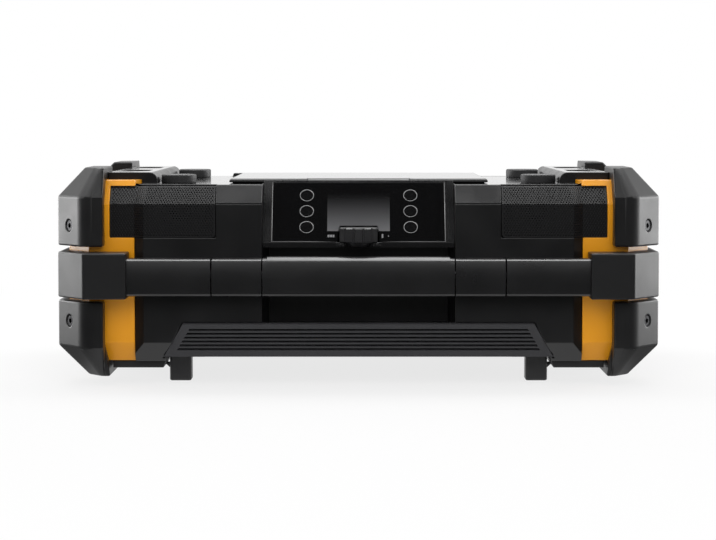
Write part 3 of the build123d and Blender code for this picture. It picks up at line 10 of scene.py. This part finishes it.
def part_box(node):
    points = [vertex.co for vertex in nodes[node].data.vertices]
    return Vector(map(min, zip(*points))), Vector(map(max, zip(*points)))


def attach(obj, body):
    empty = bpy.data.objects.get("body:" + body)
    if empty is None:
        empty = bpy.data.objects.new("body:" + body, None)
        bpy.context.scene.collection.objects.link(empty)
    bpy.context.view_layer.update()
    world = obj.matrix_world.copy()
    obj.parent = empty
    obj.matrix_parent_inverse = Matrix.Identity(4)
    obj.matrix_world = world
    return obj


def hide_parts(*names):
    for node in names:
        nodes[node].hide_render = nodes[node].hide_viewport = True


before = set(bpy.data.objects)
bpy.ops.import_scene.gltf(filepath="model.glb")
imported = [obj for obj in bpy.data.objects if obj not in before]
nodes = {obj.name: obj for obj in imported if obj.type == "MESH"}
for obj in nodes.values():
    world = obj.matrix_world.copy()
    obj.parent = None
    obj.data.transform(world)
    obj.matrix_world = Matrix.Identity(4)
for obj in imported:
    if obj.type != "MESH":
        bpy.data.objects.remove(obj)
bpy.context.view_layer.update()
MM = 0.001

# ------------------------------------------------------------------ camera
PHOTO_WIDTH = 716
FOCAL_PIXELS = 2360
SENSOR_WIDTH = 36.0
CAMERA_PLACE = (-0.0004, -1.850, 0.1958)
CAMERA_PITCH = math.radians(3.685)

camera_data = bpy.data.cameras.new("camera")
camera_data.sensor_fit = "HORIZONTAL"
camera_data.sensor_width = SENSOR_WIDTH
camera_data.lens = FOCAL_PIXELS * SENSOR_WIDTH / PHOTO_WIDTH
camera = bpy.data.objects.new("camera", camera_data)
camera.location = CAMERA_PLACE
camera.rotation_euler = (math.pi / 2 - CAMERA_PITCH, 0, 0)
bpy.context.scene.collection.objects.link(camera)
bpy.context.scene.camera = camera
bpy.context.scene.view_settings.view_transform = "Standard"


# ------------------------------------------------------------------ node helpers
def linear(value):
    """One display value, 0 to 255, as scene-linear light."""
    share = value / 255
    return share / 12.92 if share <= 0.04045 else ((share + 0.055) / 1.055) ** 2.4


def colour(red, green, blue):
    """A display colour as a linear RGBA value."""
    return (linear(red), linear(green), linear(blue), 1.0)


class Finish:
    """A material and its node tree, with short calls for the nodes that the finishes share."""

    def __init__(self, name, roughness=0.5, **sockets):
        self.material = bpy.data.materials.new(name)
        self.material.use_nodes = True
        self.tree = self.material.node_tree
        self.shader = self.tree.nodes["Principled BSDF"]
        self.shader.inputs["Roughness"].default_value = roughness
        for socket, value in sockets.items():
            self.shader.inputs[socket.replace("_", " ")].default_value = value
        self.place = self.node("ShaderNodeTexCoord").outputs["Object"]

    def node(self, kind, settings=None, **inputs):
        """A new node with its settings and its input values or links."""
        made = self.tree.nodes.new(kind)
        for name, value in (settings or {}).items():
            setattr(made, name, value)
        for name, value in inputs.items():
            socket = made.inputs[name.replace("_", " ")]
            if isinstance(value, bpy.types.NodeSocket):
                self.tree.links.new(value, socket)
            else:
                socket.default_value = value
        return made

    def link(self, output, socket):
        """Joins an output to one of the shader's sockets."""
        self.tree.links.new(output, self.shader.inputs[socket])

    def noise(self, size, detail=2.0, stretch=(1, 1, 1)):
        """A noise whose features are about size metres across."""
        scaled = self.node(
            "ShaderNodeMapping", Vector=self.place, Scale=tuple(s / size for s in stretch)
        )
        made = self.node(
            "ShaderNodeTexNoise", Vector=scaled.outputs["Vector"], Scale=1.0, Detail=detail
        )
        return made.outputs["Fac"]

    def spread(self, value, low, high, start=0.3, end=0.7):
        """A value between low and high, as the input goes from start to end."""
        made = self.node("ShaderNodeMapRange", Value=value)
        for name, number in (
            ("From Min", start),
            ("From Max", end),
            ("To Min", low),
            ("To Max", high),
        ):
            made.inputs[name].default_value = number
        return made.outputs["Result"]

    def blend(self, share, first, second):
        """Two colours, or colour outputs, mixed by share."""
        made = self.node("ShaderNodeMix", {"data_type": "RGBA"})
        for index, value in ((0, share), (6, first), (7, second)):
            socket = made.inputs[index]
            if isinstance(value, bpy.types.NodeSocket):
                self.tree.links.new(value, socket)
            else:
                socket.default_value = value
        return made.outputs[2]

    def bump(self, height, depth, strength=1.0):
        """Adds a height, depth metres deep, under the bumps that the finish already has."""
        made = self.node(
            "ShaderNodeBump", Height=height, Distance=depth, Strength=strength
        )
        earlier = self.shader.inputs["Normal"].links
        if earlier:
            self.tree.links.new(earlier[0].from_socket, made.inputs["Normal"])
        self.link(made.outputs["Normal"], "Normal")

    def edge_share(self, radius, start=0.02, end=0.25):
        """From 0 on a flat face to 1 on an edge, where the surface turns within radius."""
        rounded = self.node("ShaderNodeBevel", {"samples": 4}, Radius=radius)
        face = self.node("ShaderNodeNewGeometry")
        turn = self.node("ShaderNodeVectorMath", {"operation": "DOT_PRODUCT"})
        self.tree.links.new(rounded.outputs["Normal"], turn.inputs[0])
        self.tree.links.new(face.outputs["Normal"], turn.inputs[1])
        return self.spread(turn.outputs["Value"], 0.0, 1.0, 1 - start, 1 - end)


# ------------------------------------------------------------------ finishes
def moulded(
    name, base, light, roughness, grain=0.5 * MM, depth=0.006 * MM, wear=0.35, deck=None, **sockets
):
    """Moulded plastic or rubber: a fine spark-eroded grain, mottled gloss and paler edges.

    Where deck is given, faces that point straight up have that roughness and hardly any grain.
    """
    finish = Finish(name, **sockets)
    fine = finish.noise(grain, 3.0)
    broad = finish.noise(35 * MM, 4.0)
    scuffs = finish.noise(3 * MM, 6.0, (1, 1, 0.25))
    dull = finish.spread(broad, roughness - 0.05, roughness + 0.07)
    strength = 1.0
    if deck is not None:
        face = finish.node("ShaderNodeNewGeometry")
        apart = finish.node("ShaderNodeSeparateXYZ", Vector=face.outputs["True Normal"])
        upward = finish.spread(apart.outputs["Z"], 0.0, 1.0, 0.96, 0.995)
        smoother = finish.node("ShaderNodeMix")
        for socket, value in ((0, upward), (2, dull)):
            finish.tree.links.new(value, smoother.inputs[socket])
        smoother.inputs[3].default_value = deck
        dull = smoother.outputs[0]
        strength = finish.spread(upward, 1.0, 0.1, 0.0, 1.0)
    finish.link(dull, "Roughness")
    mottled = finish.blend(finish.spread(fine, 0.0, 0.3), base, light)
    worn = finish.spread(scuffs, 0.25, 1.0, 0.45, 0.65)
    edge = finish.node("ShaderNodeMath", {"operation": "MULTIPLY"})
    finish.tree.links.new(finish.edge_share(0.5 * MM), edge.inputs[0])
    finish.tree.links.new(finish.spread(worn, 0.0, wear, 0.0, 1.0), edge.inputs[1])
    finish.link(finish.blend(edge.outputs[0], mottled, light), "Base Color")
    finish.bump(fine, depth, strength)
    return finish.material


def coated_sheet(name, base, light, roughness):
    """Rolled metal sheet with a dull baked coat."""
    finish = Finish(name, Metallic=0.0)
    fine = finish.noise(0.25 * MM, 2.0)
    finish.link(finish.spread(fine, roughness - 0.06, roughness + 0.06), "Roughness")
    finish.link(finish.blend(finish.spread(fine, 0.0, 0.5), base, light), "Base Color")
    finish.bump(fine, 0.01 * MM)
    return finish.material


def metal(name, base, roughness, streak=(1, 1, 1)):
    """Plated or turned metal with fine tool marks along one direction."""
    finish = Finish(name, Metallic=1.0)
    marks = finish.noise(0.4 * MM, 3.0, streak)
    finish.link(finish.spread(marks, roughness - 0.05, roughness + 0.08), "Roughness")
    dark = tuple(channel * 0.8 for channel in base[:3]) + (1.0,)
    finish.link(finish.blend(finish.spread(marks, 0.0, 1.0), base, dark), "Base Color")
    finish.bump(marks, 0.004 * MM)
    return finish.material


def gloss(name, base, roughness=0.08, **sockets):
    """Smooth glossy plastic with faint orange-peel and dust."""
    finish = Finish(name, **sockets)
    peel = finish.noise(6 * MM, 1.0)
    dust = finish.noise(0.7 * MM, 4.0)
    finish.link(finish.spread(dust, roughness, roughness + 0.1, 0.55, 0.8), "Roughness")
    dusty = tuple(channel + 0.004 for channel in base[:3]) + (1.0,)
    finish.link(finish.blend(finish.spread(dust, 0.0, 1.0, 0.6, 0.8), base, dusty), "Base Color")
    finish.bump(peel, 0.02 * MM, 0.3)
    return finish.material


def circuit_board():
    """Green solder mask with paler copper areas and a fine weave below it."""
    finish = Finish("board_green", 0.35)
    weave = finish.noise(0.6 * MM, 2.0)
    cells = finish.node(
        "ShaderNodeTexVoronoi",
        {"distance": "MANHATTAN"},
        Vector=finish.place,
        Scale=180.0,
    )
    copper = finish.spread(cells.outputs["Distance"], 0.0, 1.0, 0.36, 0.4)
    finish.link(finish.blend(copper, colour(18, 70, 44), colour(30, 98, 60)), "Base Color")
    finish.bump(weave, 0.01 * MM)
    return finish.material


def screen(name, low, high, top, bottom):
    """An unlit liquid-crystal panel with fine pixel columns and a painted reflection: greyer
    towards its lower edge.
    """
    finish = Finish(name, 0.14, Specular_IOR_Level=0.3)
    apart = finish.node("ShaderNodeSeparateXYZ", Vector=finish.place)
    # Painted reflection: the top colour at the upper edge, the paler bottom colour at the foot,
    # standing in for light mirrored in the glass.
    depth = finish.spread(apart.outputs["Z"], 1.0, 0.0, low, high)
    height = finish.node("ShaderNodeMath", {"operation": "POWER"})
    finish.tree.links.new(depth, height.inputs[0])
    height.inputs[1].default_value = 1.5
    pixels = finish.noise(0.3 * MM, 0.0)
    painted_reflection = finish.blend(height.outputs[0], top, bottom)
    gaps = finish.spread(pixels, 0.0, 0.06)
    finish.link(finish.blend(gaps, painted_reflection, colour(0, 0, 0)), "Base Color")
    return finish.material


WINDOW_LOW, WINDOW_HIGH = (corner.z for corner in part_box("display_window"))
HOUSING = dict(base=colour(16, 16, 17), light=colour(28, 28, 29), deck=0.08)
finishes = {
    "housing_black": moulded("housing_black", **HOUSING, roughness=0.34, depth=0.004 * MM),
    "lid_black": moulded("lid_black", **HOUSING, roughness=0.28, depth=0.003 * MM),
    "vent_grey": moulded(
        "vent_grey", colour(54, 54, 56), colour(76, 76, 78), 0.62, Specular_IOR_Level=0.2
    ),
    "frame_orange": moulded(
        "frame_orange", colour(232, 152, 0), colour(242, 168, 6), 0.34, depth=0.004 * MM
    ),
    "bumper_rubber": moulded(
        "bumper_rubber", colour(14, 14, 15), colour(28, 28, 29), 0.4, grain=0.4 * MM
    ),
    "rail_grey": moulded("rail_grey", colour(22, 22, 23), colour(36, 36, 37), 0.37),
    "grip_rubber": moulded(
        "grip_rubber",
        colour(20, 20, 21),
        colour(35, 35, 36),
        0.34,
        grain=0.7 * MM,
        depth=0.008 * MM,
    ),
    "sleeve_black": moulded("sleeve_black", colour(21, 21, 22), colour(34, 34, 35), 0.3),
    "foot_black": moulded("foot_black", colour(34, 34, 35), colour(50, 50, 51), 0.5),
    "gasket_rubber": moulded("gasket_rubber", colour(24, 24, 25), colour(38, 38, 39), 0.6),
    "port_plastic": moulded("port_plastic", colour(34, 34, 36), colour(54, 54, 56), 0.45),
    "panel_grey": moulded(
        "panel_grey", colour(16, 16, 17), colour(34, 34, 35), 0.2, depth=0.002 * MM
    ),
    "knob_black": moulded("knob_black", colour(34, 34, 35), colour(56, 56, 57), 0.3, wear=0.6),
    "grille_mesh": coated_sheet("grille_mesh", colour(20, 20, 21), colour(34, 34, 35), 0.36),
    "speaker_frame": moulded("speaker_frame", colour(24, 24, 25), colour(40, 40, 41), 0.45),
    "speaker_cone": moulded("speaker_cone", colour(20, 20, 21), colour(40, 40, 41), 0.7),
    "screw_black": metal("screw_black", colour(44, 44, 46), 0.35),
    "steel": metal("steel", colour(170, 172, 176), 0.25, (0.05, 1, 1)),
    "encoder_metal": metal("encoder_metal", colour(150, 150, 152), 0.3),
    "contact_brass": metal("contact_brass", colour(205, 165, 90), 0.25),
    "antenna_chrome": metal("antenna_chrome", colour(206, 208, 212), 0.12, (0.05, 1, 1)),
    "panel_gloss": gloss("panel_gloss", colour(10, 10, 11)),
    "button_gloss": gloss("button_gloss", colour(12, 12, 13), 0.12),
    "board_green": circuit_board(),
    # Screen and window: dark at the top, paler at the foot, which is a painted reflection of light
    # in the glass.
    "screen_dark": screen(
        "screen_dark", WINDOW_LOW, WINDOW_HIGH, colour(10, 10, 10), colour(60, 60, 61)
    ),
    "window_clear": screen(
        "window_painted_reflection", WINDOW_LOW, WINDOW_HIGH, colour(8, 8, 9), colour(108, 108, 110)
    ),
}

for node in nodes.values():
    for slot in node.material_slots:
        slot.material = finishes[slot.material.name.split(".")[0]]


# ------------------------------------------------------------------ softened edges
EDGE_ANGLE = math.radians(34)
CORNERS = ("front_left", "front_right", "rear_left", "rear_right")


def soften(width, *names, clamp=False):
    """Rounds a CAD node's sharp edges by width with modifiers, over merged corners."""
    for name in names:
        node = nodes[name]
        weld = node.modifiers.new("weld", "WELD")
        weld.merge_threshold = 0.001 * MM
        rounded = node.modifiers.new("rounded", "BEVEL")
        rounded.width = width
        rounded.segments = 2
        rounded.limit_method = "ANGLE"
        rounded.angle_limit = EDGE_ANGLE
        rounded.use_clamp_overlap = clamp
        rounded.loop_slide = False
        rounded.miter_outer = "MITER_ARC"
        rounded.harden_normals = True
        even = node.modifiers.new("even", "WEIGHTED_NORMAL")
        even.keep_sharp = True


soften(0.5 * MM, "lower_housing", "top_cover", "storage_lid", "battery_door")
soften(0.5 * MM, "feet", "stacking_pucks")
soften(0.5 * MM, *(f"corner_frame_{corner}" for corner in CORNERS))
soften(1.2 * MM, *(f"bumper_{corner}" for corner in CORNERS))
soften(1.0 * MM, "side_rail_left", "side_rail_right")
soften(0.4 * MM, "handle_sleeves", "side_latch_left", "side_latch_right")
soften(0.3 * MM, "knob", "lid_latch", "port_panel", "ac_inlet", "storage_tray")
soften(0.15 * MM, "control_panel")
soften(0.8 * MM, "handle_grip", clamp=True)


# ------------------------------------------------------------------ speaker grilles
GRILLE_LEAN = 10.0 / 14.0
FOLD_Z = 133.5 * MM
RIM = 1.2 * MM
PITCH = 2.0 * MM
HOLE_RADIUS = 0.62 * MM
CORNER_ROUND = 3.0 * MM
CORNER_STEPS = 5
DECK_EDGE_Y = 123.7 * MM
GRILLE_BEND_X = 156.0 * MM
GRILLE_STEP_X = 163.0 * MM
GRILLE_STEP = 5.5 * MM
SHEET_THICKNESS = 0.8 * MM


def hex_lattice(width, height):
    """A flat sheet of hexagon cells, each with a hexagon hole, over width by height."""
    sheet = bmesh.new()
    row_step = PITCH * math.sqrt(3) / 2
    cell_radius = PITCH / math.sqrt(3)
    corners = [math.pi / 6 + turn * math.pi / 3 for turn in range(6)]
    for row in range(-1, int(height / row_step) + 2):
        for column in range(-1, int(width / PITCH) + 2):
            centre = Vector(((column + 0.5 * (row % 2)) * PITCH, row * row_step, 0))
            outer, inner = (
                [
                    sheet.verts.new(centre + radius * Vector((math.cos(a), math.sin(a), 0)))
                    for a in corners
                ]
                for radius in (cell_radius, HOLE_RADIUS)
            )
            for turn in range(6):
                after = (turn + 1) % 6
                sheet.faces.new((outer[turn], outer[after], inner[after], inner[turn]))
    bmesh.ops.remove_doubles(sheet, verts=sheet.verts, dist=0.02 * MM)
    return sheet


def cut(sheet, point, normal, clear=False):
    """Cuts the sheet along a line and clears what lies on the normal's side."""
    bmesh.ops.bisect_plane(
        sheet,
        geom=list(sheet.verts) + list(sheet.edges) + list(sheet.faces),
        plane_co=(*point, 0),
        plane_no=(*normal, 0),
        clear_outer=clear,
    )


def rounded_outline(width, height, inset):
    """The grille's flat outline, counter-clockwise, with its lower inner corner rounded."""
    radius = CORNER_ROUND - inset
    arc = [
        (
            CORNER_ROUND - radius * math.cos(step / CORNER_STEPS * math.pi / 2),
            CORNER_ROUND - radius * math.sin(step / CORNER_STEPS * math.pi / 2),
        )
        for step in range(CORNER_STEPS + 1)
    ]
    return arc + [
        (width - inset, inset),
        (width - inset, height - inset),
        (inset, height - inset),
    ]


def mitred(line, inset):
    """The plan line, moved inset towards the radio's middle, with its corners mitred."""
    moved = []
    for index, point in enumerate(line):
        normals = []
        for start, end in ((index - 1, index), (index, index + 1)):
            if 0 <= start and end < len(line):
                along = (line[end] - line[start]).normalized()
                normals.append(Vector((-along.y, along.x)))
        middle = sum(normals, Vector((0, 0))).normalized()
        moved.append(point - middle * (inset / middle.dot(normals[0])))
    return moved


def speaker_grille(corner, side_x, side_y):
    """One perforated grille, bent round its corner, leaning in above the fold.

    A solid flange along its top runs back level to the deck's edge.
    """
    low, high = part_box(f"speaker_grille_{corner}")
    inner = min(abs(low.x), abs(high.x))
    outer = max(abs(low.x), abs(high.x))
    front = max(abs(low.y), abs(high.y))
    line = [
        Vector((inner, front)),
        Vector((GRILLE_BEND_X, front)),
        Vector((GRILLE_STEP_X, front - GRILLE_STEP)),
        Vector((outer, front - GRILLE_STEP)),
    ]
    folds = [0.0]
    for start, end in zip(line, line[1:]):
        folds.append(folds[-1] + (end - start).length)
    upright = FOLD_Z - low.z
    rise = high.z - FOLD_Z
    slope = math.hypot(1, GRILLE_LEAN)
    width, height = folds[-1], upright + rise * slope

    sheet = hex_lattice(width, height)
    window = rounded_outline(width, height, RIM - 0.1 * MM)
    for (x0, y0), (x1, y1) in zip(window, window[1:] + window[:1]):
        if math.hypot(x1 - x0, y1 - y0) > 0.01 * MM:
            cut(sheet, (x0, y0), (y1 - y0, x0 - x1), clear=True)
    rim = [
        [sheet.verts.new((x, y, 0)) for x, y in rounded_outline(width, height, inset)]
        for inset in (0.0, RIM)
    ]
    for index in range(len(rim[0])):
        after = (index + 1) % len(rim[0])
        sheet.faces.new((rim[0][index], rim[0][after], rim[1][after], rim[1][index]))
    flange = front - rise * GRILLE_LEAN - DECK_EDGE_Y
    back = [sheet.verts.new((x, height + flange, 0)) for x in (0, width)]
    sheet.faces.new((rim[0][-1], rim[0][-2], back[1], back[0]))
    for fold in folds[1:-1]:
        cut(sheet, (fold, 0), (1, 0))
    cut(sheet, (0, upright), (0, 1))

    for vert in sheet.verts:
        along, up = vert.co.x, vert.co.y
        above = min(max(0.0, up - upright) / slope, rise)
        level = max(0.0, up - height)
        plan = mitred(line, above * GRILLE_LEAN + level)
        span = next((i for i in range(1, len(folds) - 1) if along <= folds[i]), len(folds) - 1)
        share = (along - folds[span - 1]) / (folds[span] - folds[span - 1])
        point = plan[span - 1].lerp(plan[span], share)
        deep = max(point.y, DECK_EDGE_Y) if level else point.y
        vert.co = (side_x * point.x, side_y * deep, low.z + min(up, upright) + above)
    bmesh.ops.recalc_face_normals(sheet, faces=sheet.faces)
    facing = sum((face.normal.y * face.calc_area() for face in sheet.faces), 0.0)
    if facing * side_y < 0:
        bmesh.ops.reverse_faces(sheet, faces=sheet.faces)
    mesh = bpy.data.meshes.new(f"perforated_grille_{corner}")
    sheet.to_mesh(mesh)
    sheet.free()
    grille = bpy.data.objects.new(mesh.name, mesh)
    bpy.context.scene.collection.objects.link(grille)
    thick = grille.modifiers.new("thickness", "SOLIDIFY")
    thick.thickness = SHEET_THICKNESS
    thick.offset = -1
    mesh.materials.append(finishes["grille_mesh"])
    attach(grille, "case")
    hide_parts(f"speaker_grille_{corner}")


for corner, side_x, side_y in (
    ("front_left", -1, -1),
    ("front_right", 1, -1),
    ("rear_left", -1, 1),
    ("rear_right", 1, 1),
):
    speaker_grille(corner, side_x, side_y)


# ------------------------------------------------------------------ prints on the control panel
PANEL_TILT = math.radians(36.2)
PANEL_NORMAL = Vector((0, -math.cos(PANEL_TILT), math.sin(PANEL_TILT)))
PANEL_ACROSS = Vector((1, 0, 0))
PANEL_UP = PANEL_NORMAL.cross(PANEL_ACROSS).normalized()
RING_STEPS = 64
RING_OUTER = 5.0 * MM
RING_INNER = 4.76 * MM
PRINT_HEIGHT = 0.05 * MM
MARK_HEIGHT = 5.1 * MM
BAR = (1.4 * MM, 2.2 * MM)
LINE = (1.2 * MM, 3.2 * MM)
DOT_RADIUS = 0.45 * MM

print_white = gloss("print_white", colour(168, 169, 170), 0.35)
print_grey = gloss("print_grey", colour(116, 116, 118), 0.35)


def circle(radius):
    """Points round a circle, as distances across and up the panel."""
    turns = [2 * math.pi * step / RING_STEPS for step in range(RING_STEPS)]
    return [(radius * math.cos(turn), radius * math.sin(turn)) for turn in turns]


def printed(name, ink_finish, centre, outer, inner, body):
    """Print that stands just proud of a point: all inside outer, or what is round inner."""
    ink = bmesh.new()
    lower, upper, *hole = (
        [
            ink.verts.new(centre + PANEL_NORMAL * lift + PANEL_ACROSS * x + PANEL_UP * height)
            for x, height in outline
        ]
        for outline, lift in (
            (outer, 0.0), (outer, PRINT_HEIGHT), (inner, PRINT_HEIGHT), (inner, 0.0)
        )
        if outline
    )
    loops = [lower, upper, *hole]
    for first, second in zip(loops, loops[1:] + loops[:1] if hole else loops[1:]):
        for step in range(len(first)):
            after = (step + 1) % len(first)
            ink.faces.new((first[step], first[after], second[after], second[step]))
    if not hole:
        ink.faces.new(upper)
        ink.faces.new(lower)
    bmesh.ops.recalc_face_normals(ink, faces=ink.faces)
    mesh = bpy.data.meshes.new(name)
    ink.to_mesh(mesh)
    ink.free()
    mesh.materials.append(ink_finish)
    made = bpy.data.objects.new(name, mesh)
    bpy.context.scene.collection.objects.link(made)
    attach(made, body)


def panel_top(name):
    """How far out along the panel's normal a node reaches, and its points there."""
    points = [vert.co for vert in nodes[name].data.vertices]
    top = max(point.dot(PANEL_NORMAL) for point in points)
    return top, [point for point in points if point.dot(PANEL_NORMAL) > top - 0.01 * MM]


for number in range(1, 7):
    face = panel_top(f"button_{number}")[1]
    centre = sum(face, Vector()) / len(face)
    printed(
        f"button_ring_{number}",
        print_white,
        centre,
        circle(RING_OUTER),
        circle(RING_INNER),
        f"button_{number}",
    )

glass_top, glass_face = panel_top("panel_glass")
glass_foot = min(point.dot(PANEL_UP) for point in glass_face)


def rectangle(width, height):
    """The corners of an upright rectangle round the middle."""
    return [
        (x * width / 2, y * height / 2) for x, y in ((-1, -1), (1, -1), (1, 1), (-1, 1))
    ]


for number, (x, outline) in enumerate(
    (
        (-21.8 * MM, rectangle(*BAR)),
        (-20.0 * MM, rectangle(*BAR)),
        (-18.2 * MM, rectangle(*BAR)),
        (17.4 * MM, rectangle(*LINE)),
        (21.8 * MM, circle(DOT_RADIUS)),
    ),
    start=1,
):
    place = PANEL_NORMAL * glass_top + PANEL_UP * (glass_foot + MARK_HEIGHT) + PANEL_ACROSS * x
    printed(f"level_mark_{number}", print_grey, place, outline, None, "case")


# ------------------------------------------------------------------ bead round the glass
BEAD_RADIUS = 0.35 * MM
BEAD_STEPS = 12
KNOB_CLEARANCE = 2.5 * MM


def glass_bead(name, side):
    """A thin rounded bead down one side of the glass and along its foot, up to the dial."""
    half = max(point.x for point in glass_face)
    head = max(point.dot(PANEL_UP) for point in glass_face)
    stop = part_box("knob")[1].x + KNOB_CLEARANCE
    path = [
        Vector((side * half, head)),
        Vector((side * half, glass_foot)),
        Vector((side * stop, glass_foot)),
    ]
    bead = bmesh.new()
    loops = []
    for step in range(BEAD_STEPS):
        turn = 2 * math.pi * step / BEAD_STEPS
        lift = PANEL_NORMAL * (glass_top + BEAD_RADIUS * math.sin(turn))
        loops.append([
            bead.verts.new(lift + PANEL_ACROSS * point.x + PANEL_UP * point.y)
            for point in mitred(path, BEAD_RADIUS * math.cos(turn))
        ])
    for first, second in zip(loops, loops[1:] + loops[:1]):
        for index in range(len(path) - 1):
            bead.faces.new((first[index], first[index + 1], second[index + 1], second[index]))
    for end in (0, -1):
        bead.faces.new([loop[end] for loop in loops])
    bmesh.ops.recalc_face_normals(bead, faces=bead.faces)
    mesh = bpy.data.meshes.new(name)
    bead.to_mesh(mesh)
    bead.free()
    mesh.shade_smooth()
    mesh.materials.append(finishes["panel_grey"])
    made = bpy.data.objects.new(name, mesh)
    bpy.context.scene.collection.objects.link(made)
    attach(made, "case")


for name, side in (("left", -1), ("right", 1)):
    glass_bead(f"glass_bead_{name}", side)


# ------------------------------------------------------------------ floor and background
def ramp(tree, value, start, end, low, high):
    """A value from low to high as the input goes from start to end."""
    made = tree.nodes.new("ShaderNodeMapRange")
    made.interpolation_type = "SMOOTHSTEP"
    tree.links.new(value, made.inputs["Value"])
    for socket, number in (
        ("From Min", start),
        ("From Max", end),
        ("To Min", low),
        ("To Max", high),
    ):
        made.inputs[socket].default_value = number
    return made.outputs["Result"]


def pick(tree, factor, first, second):
    """first where factor is 0, second where it is 1."""
    made = tree.nodes.new("ShaderNodeMix")
    tree.links.new(factor, made.inputs[0])
    for socket, value in ((made.inputs[2], first), (made.inputs[3], second)):
        if isinstance(value, float):
            socket.default_value = value
        else:
            tree.links.new(value, socket)
    return made.outputs[0]


def combine(tree, operation, *values):
    """The result of one Math node over its input values."""
    made = tree.nodes.new("ShaderNodeMath")
    made.operation = operation
    for value, socket in zip(values, made.inputs):
        tree.links.new(value, socket)
    return made.outputs[0]


FLOOR_HALF = 12.0
FLOOR_WHITE = 0.78
FLOOR_COLOUR = (0.85, 0.85, 0.85, 1)
FLOOR_GLOSS_FRONT = 0.05
FLOOR_GLOSS_SIDE = 0.25
FLOOR_GLOSS_BELOW = 1.0


def floor_finish():
    """A pale matt floor. Seen directly it is lifted towards white, most of all far away.

    Mirror rays see it white under the radio's middle and far out, grey beside it and dark in
    front of it, as in a studio with flags beside and before the stage.
    """
    material = bpy.data.materials.new("floor_white")
    material.use_nodes = True
    tree = material.node_tree
    tree.nodes.clear()
    place = tree.nodes.new("ShaderNodeTexCoord")
    distance = tree.nodes.new("ShaderNodeVectorMath")
    distance.operation = "LENGTH"
    tree.links.new(place.outputs["Object"], distance.inputs[0])
    apart = tree.nodes.new("ShaderNodeSeparateXYZ")
    tree.links.new(place.outputs["Object"], apart.inputs[0])
    seen_white = ramp(tree, distance.outputs["Value"], 0.3, 0.9, FLOOR_WHITE, 1.0)
    from_front = ramp(tree, apart.outputs["Y"], -0.28, -0.17, FLOOR_GLOSS_FRONT, 1.0)
    outward = ramp(tree, distance.outputs["Value"], 0.4, 1.2, FLOOR_GLOSS_SIDE, 1.0)
    aside = combine(tree, "ABSOLUTE", apart.outputs["X"])
    below = ramp(tree, aside, 0.17, 0.25, FLOOR_GLOSS_BELOW, 0.0)
    mirrored = combine(tree, "MULTIPLY", from_front, combine(tree, "MAXIMUM", outward, below))
    path = tree.nodes.new("ShaderNodeLightPath")
    share = pick(tree, path.outputs["Is Glossy Ray"], 0.0, 1.0)
    share = pick(tree, path.outputs["Is Camera Ray"], share, seen_white)
    level = pick(tree, path.outputs["Is Glossy Ray"], 1.0, mirrored)
    matt = tree.nodes.new("ShaderNodeBsdfDiffuse")
    matt.inputs["Color"].default_value = FLOOR_COLOUR
    white = tree.nodes.new("ShaderNodeEmission")
    tree.links.new(level, white.inputs["Strength"])
    mixed = tree.nodes.new("ShaderNodeMixShader")
    tree.links.new(share, mixed.inputs[0])
    tree.links.new(matt.outputs[0], mixed.inputs[1])
    tree.links.new(white.outputs[0], mixed.inputs[2])
    output = tree.nodes.new("ShaderNodeOutputMaterial")
    tree.links.new(mixed.outputs[0], output.inputs["Surface"])
    return material


floor_mesh = bpy.data.meshes.new("floor")
floor_mesh.from_pydata(
    [(x * FLOOR_HALF, y * FLOOR_HALF, 0) for x, y in ((-1, -1), (1, -1), (1, 1), (-1, 1))],
    [],
    [(0, 1, 2, 3)],
)
floor_mesh.materials.append(floor_finish())
floor = bpy.data.objects.new("floor", floor_mesh)
bpy.context.scene.collection.objects.link(floor)

WORLD_DIFFUSE = 0.55
WORLD_GLOSS_DARK = 0.03
WORLD_GLOSS_BRIGHT = 1.9
world = bpy.data.worlds.new("studio")
bpy.context.scene.world = world
world.use_nodes = True
sky = world.node_tree
sky.nodes.clear()
direction = sky.nodes.new("ShaderNodeTexCoord")
apart = sky.nodes.new("ShaderNodeSeparateXYZ")
sky.links.new(direction.outputs["Generated"], apart.inputs[0])
risen = ramp(sky, apart.outputs["Z"], 0.16, 0.5, WORLD_GLOSS_DARK, WORLD_GLOSS_BRIGHT)
overhead = ramp(sky, apart.outputs["Z"], 0.62, 0.82, 0.0, 1.0)
front = pick(sky, overhead, risen, WORLD_GLOSS_DARK)
behind = ramp(sky, apart.outputs["Y"], -0.3, 0.2, 0.0, 1.0)
path = sky.nodes.new("ShaderNodeLightPath")
mirrored = pick(sky, behind, front, 1.0)
level = pick(sky, path.outputs["Is Glossy Ray"], WORLD_DIFFUSE, mirrored)
level = pick(sky, path.outputs["Is Transmission Ray"], level, 1.0)
level = pick(sky, path.outputs["Is Camera Ray"], level, 1.0)
backdrop = sky.nodes.new("ShaderNodeBackground")
backdrop.inputs["Color"].default_value = (1, 1, 1, 1)
sky.links.new(level, backdrop.inputs["Strength"])
sky_output = sky.nodes.new("ShaderNodeOutputWorld")
sky.links.new(backdrop.outputs[0], sky_output.inputs["Surface"])


# ------------------------------------------------------------------ lights
AIM = Vector((0, 0, 0.08))


def softbox(name, place, width, height, radiance, aim=AIM, glossy=True, diffuse=True):
    """A rectangular light whose face has the given radiance, aimed at a point."""
    data = bpy.data.lights.new(name, "AREA")
    data.shape = "RECTANGLE"
    data.size, data.size_y = width, height
    data.energy = radiance * math.pi * width * height
    light = bpy.data.objects.new(name, data)
    light.location = place
    light.rotation_euler = (Vector(aim) - Vector(place)).to_track_quat("-Z", "Y").to_euler()
    light.visible_camera = False
    light.visible_glossy = glossy
    light.visible_diffuse = diffuse
    bpy.context.scene.collection.objects.link(light)


for name, side in (("left", -1), ("right", 1)):
    softbox(f"rim_{name}", (side * 1.25, 0.62, 0.24), 0.9, 0.48, 7.2)
softbox("top", (0, 0.45, 1.3), 1.6, 0.9, 2.2)
softbox("top_edge", (0, 0.1, 1.25), 1.8, 0.8, 6.0, diffuse=False)
softbox("fill", (0, -2.2, 1.1), 2.0, 1.2, 2.8, glossy=False)
